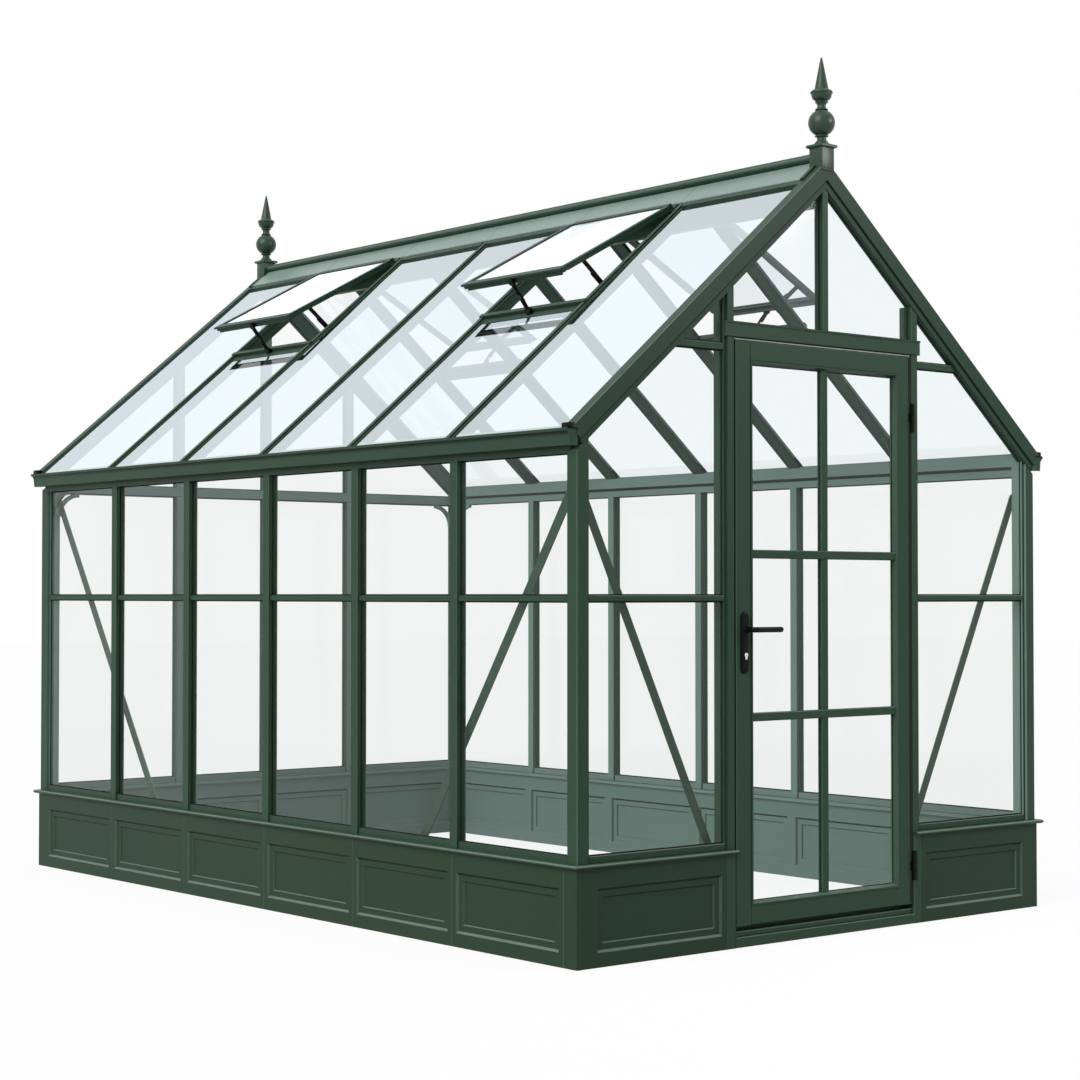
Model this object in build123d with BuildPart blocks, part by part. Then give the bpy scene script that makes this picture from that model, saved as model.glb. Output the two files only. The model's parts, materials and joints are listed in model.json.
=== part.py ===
from build123d import *
import os
from math import atan2, cos, degrees, hypot, radians, sin, tan

# A free-standing glass greenhouse: a panelled base, a glazed frame of metal bars, a pitched roof
# with four lifted vents, gutters, turned finials and one glazed door in the front gable.
# Millimetres. +X runs across the gables, +Y from the door gable to the rear, +Z up.
# The origin is on the ground, at the middle of the plan.

os.makedirs("parts", exist_ok=True)

# ---- Driving dimensions -------------------------------------------------------------------

bay = 620                # from one wall mullion to the next
bay_count = 6
corner_strip = 70        # from an end of the base to the first bay line
width = 2460             # over the base
apex_height = 2884       # where the tops of the two roof slopes meet
pitch = 40               # slope of the roof, in degrees

# Base and sill
base_height = 337
base_thick = 66
sill_thick = 14
sill_nose = 20           # the sill past the outer face of the base
sill_lip = 14            # the sill past the inner face of the base
panel_margin = 25        # from a bay line to the moulding of a base panel
panel_low = 50
panel_high = 267
mould_deep = 8
mould_band = 22          # flat band between the moulding and the sunk field
field_deep = 6
joint_groove = 5         # width of the groove between two base boards

# Wall frame
frame_inset = 4          # wall bars behind the face of the base
post = 62                # square corner posts
rebate_width = 12        # step beside the glass in a corner post or a door post
rebate_depth = 10
bar_width = 42
bar_depth = 45
bar_web = 14
mid_bar = 30             # width of the upright bar at the apex of the front gable
edge = 2                 # small bevel on bars
glass = 4
glass_deep = 20          # outer face of a bar to the outer face of its glass
pane_seat = 9            # glass held in a post, a mullion or a verge
rail_seat = 6            # glass held in a rail
mid_rail_low = 1240
mid_rail_high = 1260
foot_rail = 25
rail_front = 9           # rails behind the face of the wall bars
rail_depth = 28
eaves_low = 1744
eaves_wall = 12
eaves_chin = 28          # upright inner face of the eaves beam, and the splay above it
eaves_splay = 12
tie_low = 1740
tie_high = 1785
rear_line = 502.5        # side mullions of the rear gable, from the middle
upper_rail_low = 2140
upper_rail_high = 2165

# Roof: depths are measured square to the slope, down from the tops of the rafters
cap_width = 40
cap_deep = 15
fin_width = 16           # upright fin on the cap of a rafter
fin_deep = 10
stem_width = 24
stem_deep = 59
web_width = 14
web_gap = 1
pane_lap = 28            # roof glass under the ridge plates
verge_width = 44
verge_proud = 10         # verge board in front of the gable bars
verge_board = 57
verge_deep = 80
verge_step = 7
verge_groove = 4
verge_end = 1252         # distance of the verge's foot from the middle
rafter_end = 1258        # distance of the rafters' feet from the middle
rafter_drip = 6          # roof glass short of the rafters' feet
closer_width = 14        # upstand of a verge that closes the end of the ridge plates
closer_high = 10
closer_start = 20
ridge_beam_width = 32
ridge_beam_deep = 170
ridge_plate = 118        # length of a ridge plate down the slope
plate_thick = 4
plate_hem = 6
ridge_rail = 28
ridge_roll = 18          # radius of the roll on the ridge
plate_gap = 2            # joint between two ridge plates

# Gutter
gutter_low = 1768
gutter_high = 1826
gutter_base = 36
gutter_reach = 54
gutter_waist = 30        # height of its upright lower part, which leans out a little
gutter_lean = 3
gutter_nose = 10
gutter_wall = 3

# Finial
finial_block = 66
block_low = 2846
block_high = 2932
block_proud = 14         # block in front of the gable bars
block_cap = 84
block_cap_thick = 15
cap_bevel = 4
ball_radius = 50.5
ball_neck = 20           # radius where the ball starts and ends
# Turned outlines: radius and height, above the cap for the foot and above the ball for the neck.
foot_outline = ((29, 0), (29, 5), (18, 21), (26, 30), (26, 34), (ball_neck, 36))
neck_outline = ((25, 1), (25, 6), (17, 10), (17, 24), (25, 29), (25, 34), (21, 36), (38, 60),
                (42, 64), (42, 72), (27, 80), (4, 196), (0, 200))

# Roof vents
vent_bays = (1, 4)       # bays that have a vent, counted from the door gable
vent_open = 12           # degrees that a vent is lifted
vent_skirt = 9           # apron of a vent's bottom rail, below its underside
skirt_thick = 8
vent_rail = 24
vent_thick = 22
vent_length = 654
vent_overlap = 4         # vent short of the middle of a rafter
vent_lip = 12
lip_thick = 8
vent_barrel = 7
stay_wide = 8
stay_thick = 10
stay_seat_high = 14
stay_seat_wide = 34
stay_seat_inset = 4
arm_thick = 10           # strut between a vent and its rafter
arm_wide = 20
arm_down = 530           # its end on the vent, and its end on the rafter
arm_foot = 640
arm_deep = 44
arm_seat_long = 40
arm_seat_high = 22
vent_glass_low = 12
vent_step = 4            # underside of a vent's bottom rail above that of its sides
barrel_gap = 2           # a vent's top rail clear of its barrel and of the rafters
barrel_clear = 0.2
cill_start = 776
cill_top = 20
cill_rail = 30
cill_drop = 12
cill_deep = 36
cill_thick = 5
cill_wall = 4
cill_lap = 10

# Braces and knee brackets
brace_width = 26
brace_thick = 5
brace_reach = 965        # foot of a wall brace, from the end of the base
brace_top = 1712
brace_root = 8           # end of a brace's middle line under the top of the sill
gable_brace_top = 1655
gable_brace_foot = 16    # foot of a gable brace, from the outer side of a door post
knee_radius = 110
knee_width = 18
knee_thick = 16
knee_foot = 24
knee_plate = 4

# Doorway and door
doorway = 960
door_post = 45
door_post_depth = 62
head_low = 2190
head_high = 2246
head_plate = 4
head_fillet = 6          # second step along the top of the door head
stop_width = 16
stop_depth = 15
stop_gap = 5
threshold_face = 37
threshold_step = 56
threshold_stop = 90
threshold_back = 12
leaf_width = 945
leaf_low = 76
leaf_high = 2180
leaf_thick = 40
stile_width = 75
rail_height = 70
bead_width = 15
bead_flat = 6            # flat edge of a bead, before it slopes down to the glass
bead_proud = 4           # front bead past the face of the leaf
bead_back = 34
door_glass_deep = 18
door_pane_seat = 10
cross_bar = 30
cross_bar_lines = (820, 1410)
cross_bar_deep = (4, 36)
upright_bar = 36
upright_deep = (9, 31)
bar_web_door = 8
hinge_heights = (222, 1945)
hinge_height = 110
hinge_radius = 8
hinge_pin = 3.5
pin_clearance = 0.3
knuckle_gap = 0.5
hinge_flag = 12
leaf_flag = 16
flag_gap = 1
flag_thick = 3
lock_inset = 40
lock_height = 1090
lock_plate_height = 222
lock_plate_width = 36
lock_plate_thick = 10
lock_plate_round = 14
lever_height = 1137
lever_reach = 140
lever_out = 46           # from the lock plate to the middle of the lever
lever_radius = 10
lever_bevel = 6
lever_boss = 12
lever_gap = 1            # boss clear of the lock plate
spindle_radius = 4
spindle_bore = 4.2
spindle_over = 2         # spindle past the lock plates, inside the bosses
key_height = 1046
key_radius = 8.5
key_web = 10
key_proud = 2

# ---- Values worked out from them ----------------------------------------------------------

length = bay_count * bay + 2 * corner_strip
cut = length + width     # reach of the cutting solids, well past what they cut
half_length = length / 2
half_width = width / 2
side_face = half_width - frame_inset
gable_face = half_length - frame_inset
post_inner_x = side_face - post
post_inner_y = gable_face - post
sill_top = base_height + sill_thick
bay_lines = [-half_length + corner_strip + bay * i for i in range(bay_count + 1)]
mullion_lines = bay_lines[1:-1]
bay_middles = [(a + b) / 2 for a, b in zip(bay_lines[:-1], bay_lines[1:])]
vent_middles = [bay_middles[i] for i in vent_bays]
rise, run = sin(radians(pitch)), cos(radians(pitch))
glass_top = cap_deep
glass_under = cap_deep + glass


def on_slope(down, out):
    """A point (x, z) of the right slope: down from the apex, and out from the rafters' tops."""
    return (down * run + out * rise, apex_height - down * rise + out * run)


def down_to(distance, out):
    """How far down the slope a line at that height above it is this far from the middle."""
    return (distance - out * rise) / run


def roof_space(depth):
    """Everything under the two planes that lie this deep under the tops of the rafters."""
    with BuildPart() as space:
        with BuildSketch(Plane.XZ):
            with BuildLine():
                top = (0, apex_height - depth / run)
                foot = (cut, top[1] - cut * rise / run)
                Polyline((-cut, -cut), (cut, -cut), foot, top, (-foot[0], foot[1]), close=True)
            make_face()
        extrude(amount=cut + half_length, both=True)
    return space.part


def beam(x_range, y_range, z_range, bevel=edge):
    """A straight bar between two corners, with its long edges bevelled."""
    sizes = [high - low for low, high in (x_range, y_range, z_range)]
    middle = [(low + high) / 2 for low, high in (x_range, y_range, z_range)]
    along = sizes.index(max(sizes))
    with BuildPart(Plane(origin=middle)) as solid:
        Box(*sizes)
        if bevel:
            chamfer(solid.edges().filter_by((Axis.X, Axis.Y, Axis.Z)[along]), bevel)
    return solid.part


def slab(x_range, y_range, z_range):
    """A plain pane or block between two corners."""
    return beam(x_range, y_range, z_range, bevel=0)


def strut(start, end, thickness, wide):
    """A flat bar between two points (x, z), as wide as given there, and this thick along Y."""
    angle = degrees(atan2(end[1] - start[1], end[0] - start[0]))
    with BuildPart() as bar:
        with BuildSketch(Plane.XZ):
            with Locations(((start[0] + end[0]) / 2, (start[1] + end[1]) / 2)):
                Rectangle(hypot(end[0] - start[0], end[1] - start[1]), wide, rotation=angle)
        extrude(amount=thickness / 2, both=True)
    return bar.part


def collect(*pieces, holes=(), keep=None):
    """One sub-part from pieces, less the pieces that are let into it, within one space."""
    with BuildPart() as node:
        add(list(pieces))
        for hole in holes:
            add(hole, mode=Mode.SUBTRACT)
        if keep is not None:
            add(keep, mode=Mode.INTERSECT)
    return node.part


def save(part, name):
    part.label = name
    export_step(part, f"parts/{name}.step")


right_slope = Plane(origin=(0, 0, apex_height), x_dir=(run, 0, -rise), z_dir=(rise, 0, run))
along_right = Plane(origin=(0, 0, apex_height), x_dir=(0, 1, 0), z_dir=(run, 0, -rise))
side_right = Plane(origin=(0, 0, apex_height), x_dir=(run, 0, -rise), z_dir=(0, -1, 0))
under_verge = roof_space(verge_deep)
in_verge = roof_space(verge_deep - pane_seat)

# ---- Base walls ---------------------------------------------------------------------------


def panelled_wall(size, middle, face_middles, face_widths, grooves, turn):
    """A base wall along X or Y with sunk panels on both faces and grooves between its boards."""
    panel_height = panel_high - panel_low
    panel_middle = (panel_low + panel_high) / 2
    with BuildPart(Plane(origin=(middle[0], middle[1], base_height / 2))) as wall:
        Box(*size, base_height)
        for side in (1, -1):
            face = Plane(
                origin=(middle[0] + side * turn[0] * base_thick / 2,
                        middle[1] + side * turn[1] * base_thick / 2, 0),
                x_dir=(turn[1] * side, -turn[0] * side, 0),
                z_dir=(-turn[0] * side, -turn[1] * side, 0),
            )
            for place, wide in zip(face_middles, face_widths):
                along = (place if turn[1] else -place) * side
                with BuildSketch(face):
                    with Locations((along, panel_middle)):
                        Rectangle(wide, panel_height)
                extrude(amount=mould_deep, taper=45, mode=Mode.SUBTRACT)
                sunk = 2 * (mould_deep + mould_band)
                with BuildSketch(face.offset(mould_deep)):
                    with Locations((along, panel_middle)):
                        Rectangle(wide - sunk, panel_height - sunk)
                extrude(amount=field_deep, taper=30, mode=Mode.SUBTRACT)
            if side == 1:
                for place in grooves:
                    along = (place if turn[1] else -place) * side
                    with BuildSketch(face):
                        with Locations((along, base_height / 2)):
                            Rectangle(joint_groove, base_height + joint_groove * 2)
                    extrude(amount=joint_groove / 2, taper=44, mode=Mode.SUBTRACT)
    return wall.part


base_right = panelled_wall(
    (base_thick, length), (half_width - base_thick / 2, 0),
    bay_middles, [bay - 2 * panel_margin] * bay_count, bay_lines, (1, 0))
base_left = mirror(base_right, about=Plane.YZ)
base_inner = half_width - base_thick
gable_middle = half_length - base_thick / 2
rear_middles = [(base_inner + rear_line) / 2, rear_line / 2]
rear_widths = [base_inner - rear_line - 2 * panel_margin, rear_line - 2 * panel_margin]
base_rear = panelled_wall(
    (2 * base_inner, base_thick), (0, gable_middle),
    [-rear_middles[0], -rear_middles[1], rear_middles[1], rear_middles[0]],
    rear_widths + rear_widths[::-1], (-rear_line, 0, rear_line), (0, 1))
door_side = doorway / 2 + door_post
front_wide = base_inner - door_side
base_front_right = panelled_wall(
    (front_wide, base_thick), ((base_inner + door_side) / 2, -gable_middle),
    [0], [front_wide - 2 * panel_margin], (), (0, -1))
base_front_left = mirror(base_front_right, about=Plane.YZ)
save(collect(base_right, base_left), "side_base_walls")
save(collect(base_rear, base_front_right, base_front_left), "gable_base_walls")

# ---- Sills, mitred at the corners -----------------------------------------------------------

out_x, out_y = half_width + sill_nose, half_length + sill_nose
in_x, in_y = base_inner - sill_lip, half_length - base_thick - sill_lip


def sill(*outline, notch=None):
    with BuildPart() as board:
        with BuildSketch(Plane.XY.offset(base_height)):
            with BuildLine():
                Polyline(*outline, close=True)
            make_face()
        extrude(amount=sill_thick)
        edges = board.edges().filter_by(Axis.X) + board.edges().filter_by(Axis.Y)
        chamfer(edges.sort_by(SortBy.LENGTH)[-2:], sill_thick / 3)
        if notch is not None:
            add(notch, mode=Mode.SUBTRACT)
    return board.part


post_hole = slab((doorway / 2, door_side), (-gable_face, -gable_face + door_post_depth), (0, sill_top))
side_sill = sill((in_x, -in_y), (out_x, -out_y), (out_x, out_y), (in_x, in_y))
rear_sill = sill((in_x, in_y), (out_x, out_y), (-out_x, out_y), (-in_x, in_y))
door_end = doorway / 2
front_sill = sill((in_x, -in_y), (out_x, -out_y), (door_end, -out_y), (door_end, -in_y), notch=post_hole)
save(collect(side_sill, mirror(side_sill, about=Plane.YZ)), "side_sills")
save(collect(rear_sill, front_sill, mirror(front_sill, about=Plane.YZ)), "gable_sills")

# ---- Wall glass: tall panes in the right wall, two to a bay in the left wall ---------------

lower_span = (sill_top + foot_rail - rail_seat, mid_rail_low + rail_seat)
upper_span = (mid_rail_high - rail_seat, eaves_low + rail_seat)
tall_span = (lower_span[0], upper_span[1])
side_bays = [(low + bar_width / 2, high - bar_width / 2)
             for low, high in zip(mullion_lines[:-1], mullion_lines[1:])]
side_bays.insert(0, (-post_inner_y, mullion_lines[0] - bar_width / 2))
side_bays.append((mullion_lines[-1] + bar_width / 2, post_inner_y))


def side_panes(*spans_z):
    """The panes of the right wall, with these heights in every bay."""
    panes = []
    for low, high in side_bays:
        for z_range in spans_z:
            panes.append(slab((side_face - glass_deep - glass, side_face - glass_deep),
                              (low - pane_seat, high + pane_seat), z_range))
    return collect(*panes)


right_glass = side_panes(tall_span)
left_glass = mirror(side_panes(lower_span, upper_span), about=Plane.YZ)
save(right_glass, "right_wall_glass")
save(left_glass, "left_wall_glass")

front_y = (-gable_face + glass_deep, -gable_face + glass_deep + glass)
rear_y = (gable_face - glass_deep - glass, gable_face - glass_deep)
side_pane_x = (door_side - pane_seat, post_inner_x + pane_seat)
front_panes = [
    slab(side_pane_x, front_y, lower_span),
    slab(side_pane_x, front_y, (mid_rail_high - rail_seat, upper_rail_low + rail_seat)),
    slab(side_pane_x, front_y, (upper_rail_high - rail_seat, apex_height)),
    slab((mid_bar / 2 - rail_seat, doorway / 2 + pane_seat), front_y,
         (head_high - rail_seat, apex_height)),
]
front_half = collect(*front_panes, keep=in_verge)
front_glass = collect(front_half, mirror(front_half, about=Plane.YZ))
save(front_glass, "front_gable_glass")

rear_panes = []
bar_seat = bar_width / 2 - pane_seat
for x_range in ((bar_seat, rear_line - bar_seat), (rear_line + bar_seat, post_inner_x + pane_seat)):
    rear_panes.append(slab(x_range, rear_y, lower_span))
    rear_panes.append(slab(x_range, rear_y, (mid_rail_high - rail_seat, tie_low + rail_seat)))
    rear_panes.append(slab(x_range, rear_y, (tie_high - rail_seat, apex_height)))
rear_half = collect(*rear_panes, keep=in_verge)
rear_glass = collect(rear_half, mirror(rear_half, about=Plane.YZ))
save(rear_glass, "rear_gable_glass")

# ---- Eaves beams and gutters ----------------------------------------------------------------

eaves_reach = half_length - verge_width + verge_proud - frame_inset
beam_inner = post_inner_x
with BuildPart() as eaves_right:
    with BuildSketch(Plane.XZ) as eaves_section:
        with BuildLine():
            Polyline(
                (side_face, eaves_low),
                on_slope(down_to(side_face, -glass_under), -glass_under),
                on_slope(down_to(side_face - eaves_wall, -glass_under), -glass_under),
                on_slope(down_to(side_face - eaves_wall, -stem_deep), -stem_deep),
                on_slope(down_to(beam_inner, -stem_deep), -stem_deep),
                (beam_inner, eaves_low + eaves_chin + eaves_splay),
                (side_face - bar_depth, eaves_low + eaves_chin),
                (side_face - bar_depth, eaves_low),
                close=True,
            )
        make_face()
    extrude(amount=eaves_reach, both=True)
    add(right_glass, mode=Mode.SUBTRACT)
save(collect(eaves_right.part, mirror(eaves_right.part, about=Plane.YZ)), "eaves_beams")

with BuildPart() as gutter_right:
    with BuildSketch(Plane.XZ) as gutter_outside:
        with BuildLine():
            waist = (side_face + gutter_base + gutter_lean, gutter_low + gutter_waist)
            nose = (side_face + gutter_reach, gutter_high - gutter_nose)
            Polyline((side_face, gutter_low), (side_face + gutter_base, gutter_low), waist)
            TangentArc(waist, nose, tangent=(gutter_lean, gutter_waist))
            Polyline(nose, (side_face + gutter_reach, gutter_high), (side_face, gutter_high),
                     (side_face, gutter_low))
        make_face()
    extrude(amount=half_length, both=True)
    with BuildSketch(Plane.XZ):
        add(gutter_outside.sketch)
        offset(amount=-gutter_wall, mode=Mode.REPLACE)
        with Locations((side_face + gutter_reach / 2, gutter_high)):
            Rectangle(gutter_reach - 2 * gutter_wall, 4 * gutter_wall)
    extrude(amount=half_length - gutter_wall, both=True, mode=Mode.SUBTRACT)
save(collect(gutter_right.part, mirror(gutter_right.part, about=Plane.YZ)), "gutters")

# ---- Roof glass: from the ridge to the gutter, or from a vent's cill ------------------------

pane_top = ridge_plate - pane_lap
pane_end = down_to(rafter_end - rafter_drip, -glass_under)
verge_inner = gable_face + verge_proud - verge_width


def roof_pane(y_range, start):
    """One pane in the right slope."""
    with BuildPart() as pane:
        with BuildSketch(right_slope.offset(-glass_under)):
            with Locations(((start + pane_end) / 2, (y_range[0] + y_range[1]) / 2)):
                Rectangle(pane_end - start, y_range[1] - y_range[0])
        extrude(amount=glass)
    return pane.part


roof_panes = []
for i in range(bay_count):
    low = -verge_inner - pane_seat if i == 0 else bay_lines[i] + web_width / 2 + web_gap
    high = verge_inner + pane_seat if i == bay_count - 1 else bay_lines[i + 1] - web_width / 2 - web_gap
    start = cill_start + cill_top + rail_seat if i in vent_bays else pane_top
    roof_panes.append(roof_pane((low, high), start))
right_roof_glass = collect(*roof_panes)
left_roof_glass = mirror(right_roof_glass, about=Plane.YZ)
save(right_roof_glass, "right_roof_glass")
save(left_roof_glass, "left_roof_glass")

# ---- Corner posts, mullions and rails -------------------------------------------------------

with BuildSketch() as mullion_section:
    # A bar of the right wall in plan: outer flange, web at the glass, inner flange.
    with BuildLine():
        half = bar_width / 2
        Polyline(
            (0, -half), (0, half), (-glass_deep, half), (-glass_deep, bar_web / 2),
            (-glass_deep - glass, bar_web / 2), (-glass_deep - glass, half), (-bar_depth, half),
            (-bar_depth, -half), (-glass_deep - glass, -half), (-glass_deep - glass, -bar_web / 2),
            (-glass_deep, -bar_web / 2), (-glass_deep, -half), close=True)
    make_face()
    ends = mullion_section.vertices().sort_by(Axis.X)
    chamfer(ends[:2] + ends[-2:], edge)

with BuildPart() as right_mullions:
    with BuildSketch(Plane.XY.offset(sill_top)):
        with Locations(*[(side_face, y) for y in mullion_lines]):
            add(mullion_section.sketch)
    extrude(amount=eaves_low - sill_top)
save(right_mullions.part, "right_mullions")
save(mirror(right_mullions.part, about=Plane.YZ), "left_mullions")

with BuildPart() as post_right:
    with BuildSketch() as post_section:
        # Square, with a bevelled outer corner and a step beside the glass of each wall.
        with BuildLine():
            Polyline(
                (post_inner_x, post_inner_y), (side_face - rebate_depth, post_inner_y),
                (side_face - rebate_depth, post_inner_y + rebate_width),
                (side_face, post_inner_y + rebate_width), (side_face, gable_face),
                (post_inner_x + rebate_width, gable_face),
                (post_inner_x + rebate_width, gable_face - rebate_depth),
                (post_inner_x, gable_face - rebate_depth), close=True)
        make_face()
        chamfer(post_section.vertices().sort_by(Axis((0, 0, 0), (1, 1, 0)))[-1], 2 * edge)
    extrude(amount=apex_height)
    add(slab((0, cut), (0, cut), (0, sill_top)), mode=Mode.SUBTRACT)
posts = [post_right.part, mirror(post_right.part, about=Plane.XZ)]
posts = posts + [mirror(piece, about=Plane.YZ) for piece in posts]
all_wall_glass = collect(right_glass, left_glass, front_glass, rear_glass)
both_eaves = collect(eaves_right.part, mirror(eaves_right.part, about=Plane.YZ))
save(collect(*posts, holes=(all_wall_glass, both_eaves), keep=under_verge), "corner_posts")

rail_x = (side_face - rail_front - rail_depth, side_face - rail_front)
foot_rails = [slab(rail_x, y_range, (sill_top, sill_top + foot_rail)) for y_range in side_bays]
mid_rails = [slab(rail_x, y_range, (mid_rail_low, mid_rail_high)) for y_range in side_bays]
left_rails = mirror(collect(*foot_rails, *mid_rails), about=Plane.YZ)
save(collect(*foot_rails, holes=(right_glass,)), "right_wall_rails")
save(collect(left_rails, holes=(left_glass,)), "left_wall_rails")

# ---- Front gable: door posts, head, threshold and bars --------------------------------------

hinge_x = (doorway / 2 + leaf_width / 2) / 2
flag_start = hinge_x + hinge_radius + flag_gap
flag_x = (flag_start, flag_start + hinge_flag)
post_y = (-gable_face, -gable_face + door_post_depth)
stop_front = post_y[0] + leaf_thick + stop_gap
stop_y = (stop_front, stop_front + stop_depth)
post_step = [slab((door_side - rebate_width, door_side), (post_y[0], post_y[0] + rebate_depth), z_range)
             for z_range in ((sill_top, head_low), (head_high, apex_height))]
door_post_right = collect(beam((doorway / 2, door_side), post_y, (0, apex_height)),
                          holes=(front_glass, *post_step), keep=under_verge)
save(collect(door_post_right, mirror(door_post_right, about=Plane.YZ)), "door_posts")



def faced(x_range, y_range, z_range):
    """A board on the front gable, with the long edges of its face bevelled."""
    along = Axis.X if x_range[1] - x_range[0] > z_range[1] - z_range[0] else Axis.Z
    with BuildPart() as board:
        add(slab(x_range, y_range, z_range))
        chamfer(board.faces().sort_by(Axis.Y)[0].edges().filter_by(along), edge)
    return board.part


plinth_y = (-half_length, post_y[0])
notch_half = hinge_height / 2 + flag_gap
notch_z = (hinge_heights[0] - notch_half, hinge_heights[0] + notch_half)
plinths = [
    faced((doorway / 2, door_side), plinth_y, (0, notch_z[0])),
    faced((doorway / 2, door_side), plinth_y, (notch_z[1], base_height)),
    slab((flag_x[1] + flag_gap, door_side), plinth_y, notch_z),
    faced((-door_side, -doorway / 2), plinth_y, (0, base_height)),
]
save(collect(*plinths[:3]), "hinge_post_plinth")
save(plinths[3], "lock_post_plinth")

door_head = collect(
    slab((-doorway / 2, doorway / 2), post_y, (head_low, head_high)),
    faced((-door_side, door_side), (post_y[0] - head_plate, post_y[0]), (head_low, head_high)),
    slab((-door_side, door_side), (post_y[0] - 2 * head_plate, post_y[0] - head_plate),
         (head_high - head_fillet, head_high)),
    holes=(front_glass,))
save(door_head, "door_head")

threshold = collect(
    faced((-doorway / 2, doorway / 2), (-half_length, stop_y[0]), (0, threshold_face)),
    faced((-doorway / 2, doorway / 2), (-half_length + threshold_back, stop_y[0]),
         (threshold_face, threshold_step)))
save(threshold, "door_threshold")

inner_half = doorway / 2 - stop_width
side_stop = slab((inner_half, doorway / 2), stop_y, (0, head_low))
door_stops = [
    side_stop, mirror(side_stop, about=Plane.YZ),
    slab((-inner_half, inner_half), stop_y, (0, threshold_stop)),
    slab((-inner_half, inner_half), stop_y, (head_low - stop_width, head_low)),
]
save(collect(*door_stops[:2]), "door_side_stops")
save(collect(*door_stops[2:]), "door_cross_stops")

gable_rail_y = (-gable_face + rail_front, -gable_face + rail_front + rail_depth)
rear_rail_y = (-gable_rail_y[1], -gable_rail_y[0])
apex_bar = beam((-mid_bar / 2, mid_bar / 2), (-gable_face, -gable_face + bar_depth),
                (head_high, apex_height))
front_rails = [beam((door_side, post_inner_x), gable_rail_y, z_range) for z_range in (
    (sill_top, sill_top + foot_rail), (mid_rail_low, mid_rail_high))]
front_rails.append(beam((door_side, post_inner_x), gable_rail_y, (upper_rail_low, upper_rail_high)))
front_rails = front_rails + [mirror(piece, about=Plane.YZ) for piece in front_rails]
save(collect(apex_bar, *front_rails, holes=(front_glass,), keep=under_verge), "front_gable_bars")

# ---- Rear gable: tie beam, mullions and rails -----------------------------------------------

rear_tie = collect(
    beam((-post_inner_x, post_inner_x), (gable_face - bar_depth, gable_face), (tie_low, tie_high)),
    holes=(rear_glass,))
save(rear_tie, "rear_tie_beam")

with BuildPart() as rear_mullions:
    for low, high in ((sill_top, tie_low), (tie_high, apex_height)):
        with BuildSketch(Plane.XY.offset(low)):
            with Locations(*[(x, gable_face) for x in (-rear_line, 0, rear_line)]):
                add(mullion_section.sketch, rotation=90)
        extrude(amount=high - low)
    add(under_verge, mode=Mode.INTERSECT)
save(rear_mullions.part, "rear_mullions")

rear_rails = []
for x_range in ((bar_width / 2, rear_line - bar_width / 2),
                (rear_line + bar_width / 2, post_inner_x)):
    rear_rails.append(slab(x_range, rear_rail_y, (sill_top, sill_top + foot_rail)))
    rear_rails.append(slab(x_range, rear_rail_y, (mid_rail_low, mid_rail_high)))
rear_rails = rear_rails + [mirror(piece, about=Plane.YZ) for piece in rear_rails]
save(collect(*rear_rails, holes=(rear_glass,)), "rear_rails")

# ---- Finials --------------------------------------------------------------------------------

block_front = gable_face + block_proud
finial_y = block_front - finial_block / 2
cap_top = block_high + block_cap_thick
block = slab((-finial_block / 2, finial_block / 2), (-block_front, finial_block - block_front),
             (block_low, block_high))

with BuildPart() as finial_front:
    add(block)
    with BuildSketch(Plane.XY.offset(block_high)):
        with Locations((0, -finial_y)):
            Rectangle(block_cap, block_cap)
    extrude(amount=block_cap_thick)
    chamfer(finial_front.faces().sort_by(Axis.Z)[-1].edges(), cap_bevel)
    with BuildSketch(Plane(origin=(0, -finial_y, cap_top), x_dir=(1, 0, 0), z_dir=(0, -1, 0))):
        with BuildLine():
            ball_half = (ball_radius ** 2 - ball_neck ** 2) ** 0.5
            ball_z = foot_outline[-1][1] + ball_half
            neck = [(radius, ball_z + ball_half + high) for radius, high in neck_outline]
            Polyline((0, 0), *foot_outline)
            ThreePointArc(foot_outline[-1], (ball_radius, ball_z), (ball_neck, ball_z + ball_half))
            Polyline((ball_neck, ball_z + ball_half), *neck, (0, 0))
        make_face()
    revolve(axis=Axis((0, -finial_y, 0), (0, 0, 1)))
save(collect(finial_front.part, mirror(finial_front.part, about=Plane.XZ)), "finials")

# ---- Verges ---------------------------------------------------------------------------------

board_y = (-gable_face - verge_proud, -verge_inner)
with BuildPart() as verge_front:
    with BuildSketch(along_right.offset(-verge_board)):
        # A board with a bevelled face, a groove under it, and a lip that stands back from it.
        with BuildLine():
            lip_y = board_y[0] + verge_step
            groove_y = lip_y + verge_step
            lip_top = -verge_board - verge_groove
            Polyline((board_y[0], -edge), (board_y[0] + edge, 0), (board_y[1], 0),
                     (board_y[1], -verge_deep), (lip_y, -verge_deep), (lip_y, lip_top),
                     (groove_y, lip_top), (groove_y, -verge_board),
                     (board_y[0] + edge, -verge_board), (board_y[0], edge - verge_board),
                     close=True)
        make_face()
    extrude(amount=down_to(verge_end, 0) + verge_board)
    with BuildSketch(right_slope):
        closer_end = ridge_plate + closer_high
        with Locations(((closer_start + closer_end) / 2, board_y[1] - closer_width / 2)):
            Rectangle(closer_end - closer_start, closer_width)
    extrude(amount=closer_high)
    add(slab((0, verge_end), (-cut, 0), (0, cut * 2)), mode=Mode.INTERSECT)
    add(slab((side_face, cut), (-cut, 0), (0, gutter_high)), mode=Mode.SUBTRACT)
    add(block, mode=Mode.SUBTRACT)
verge_rear = mirror(verge_front.part, about=Plane.XZ)
verges_right = collect(verge_front.part, verge_rear, holes=(front_glass, rear_glass, right_roof_glass))
save(verges_right, "verges_right")
save(mirror(verges_right, about=Plane.YZ), "verges_left")

# ---- Ridge ----------------------------------------------------------------------------------

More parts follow.
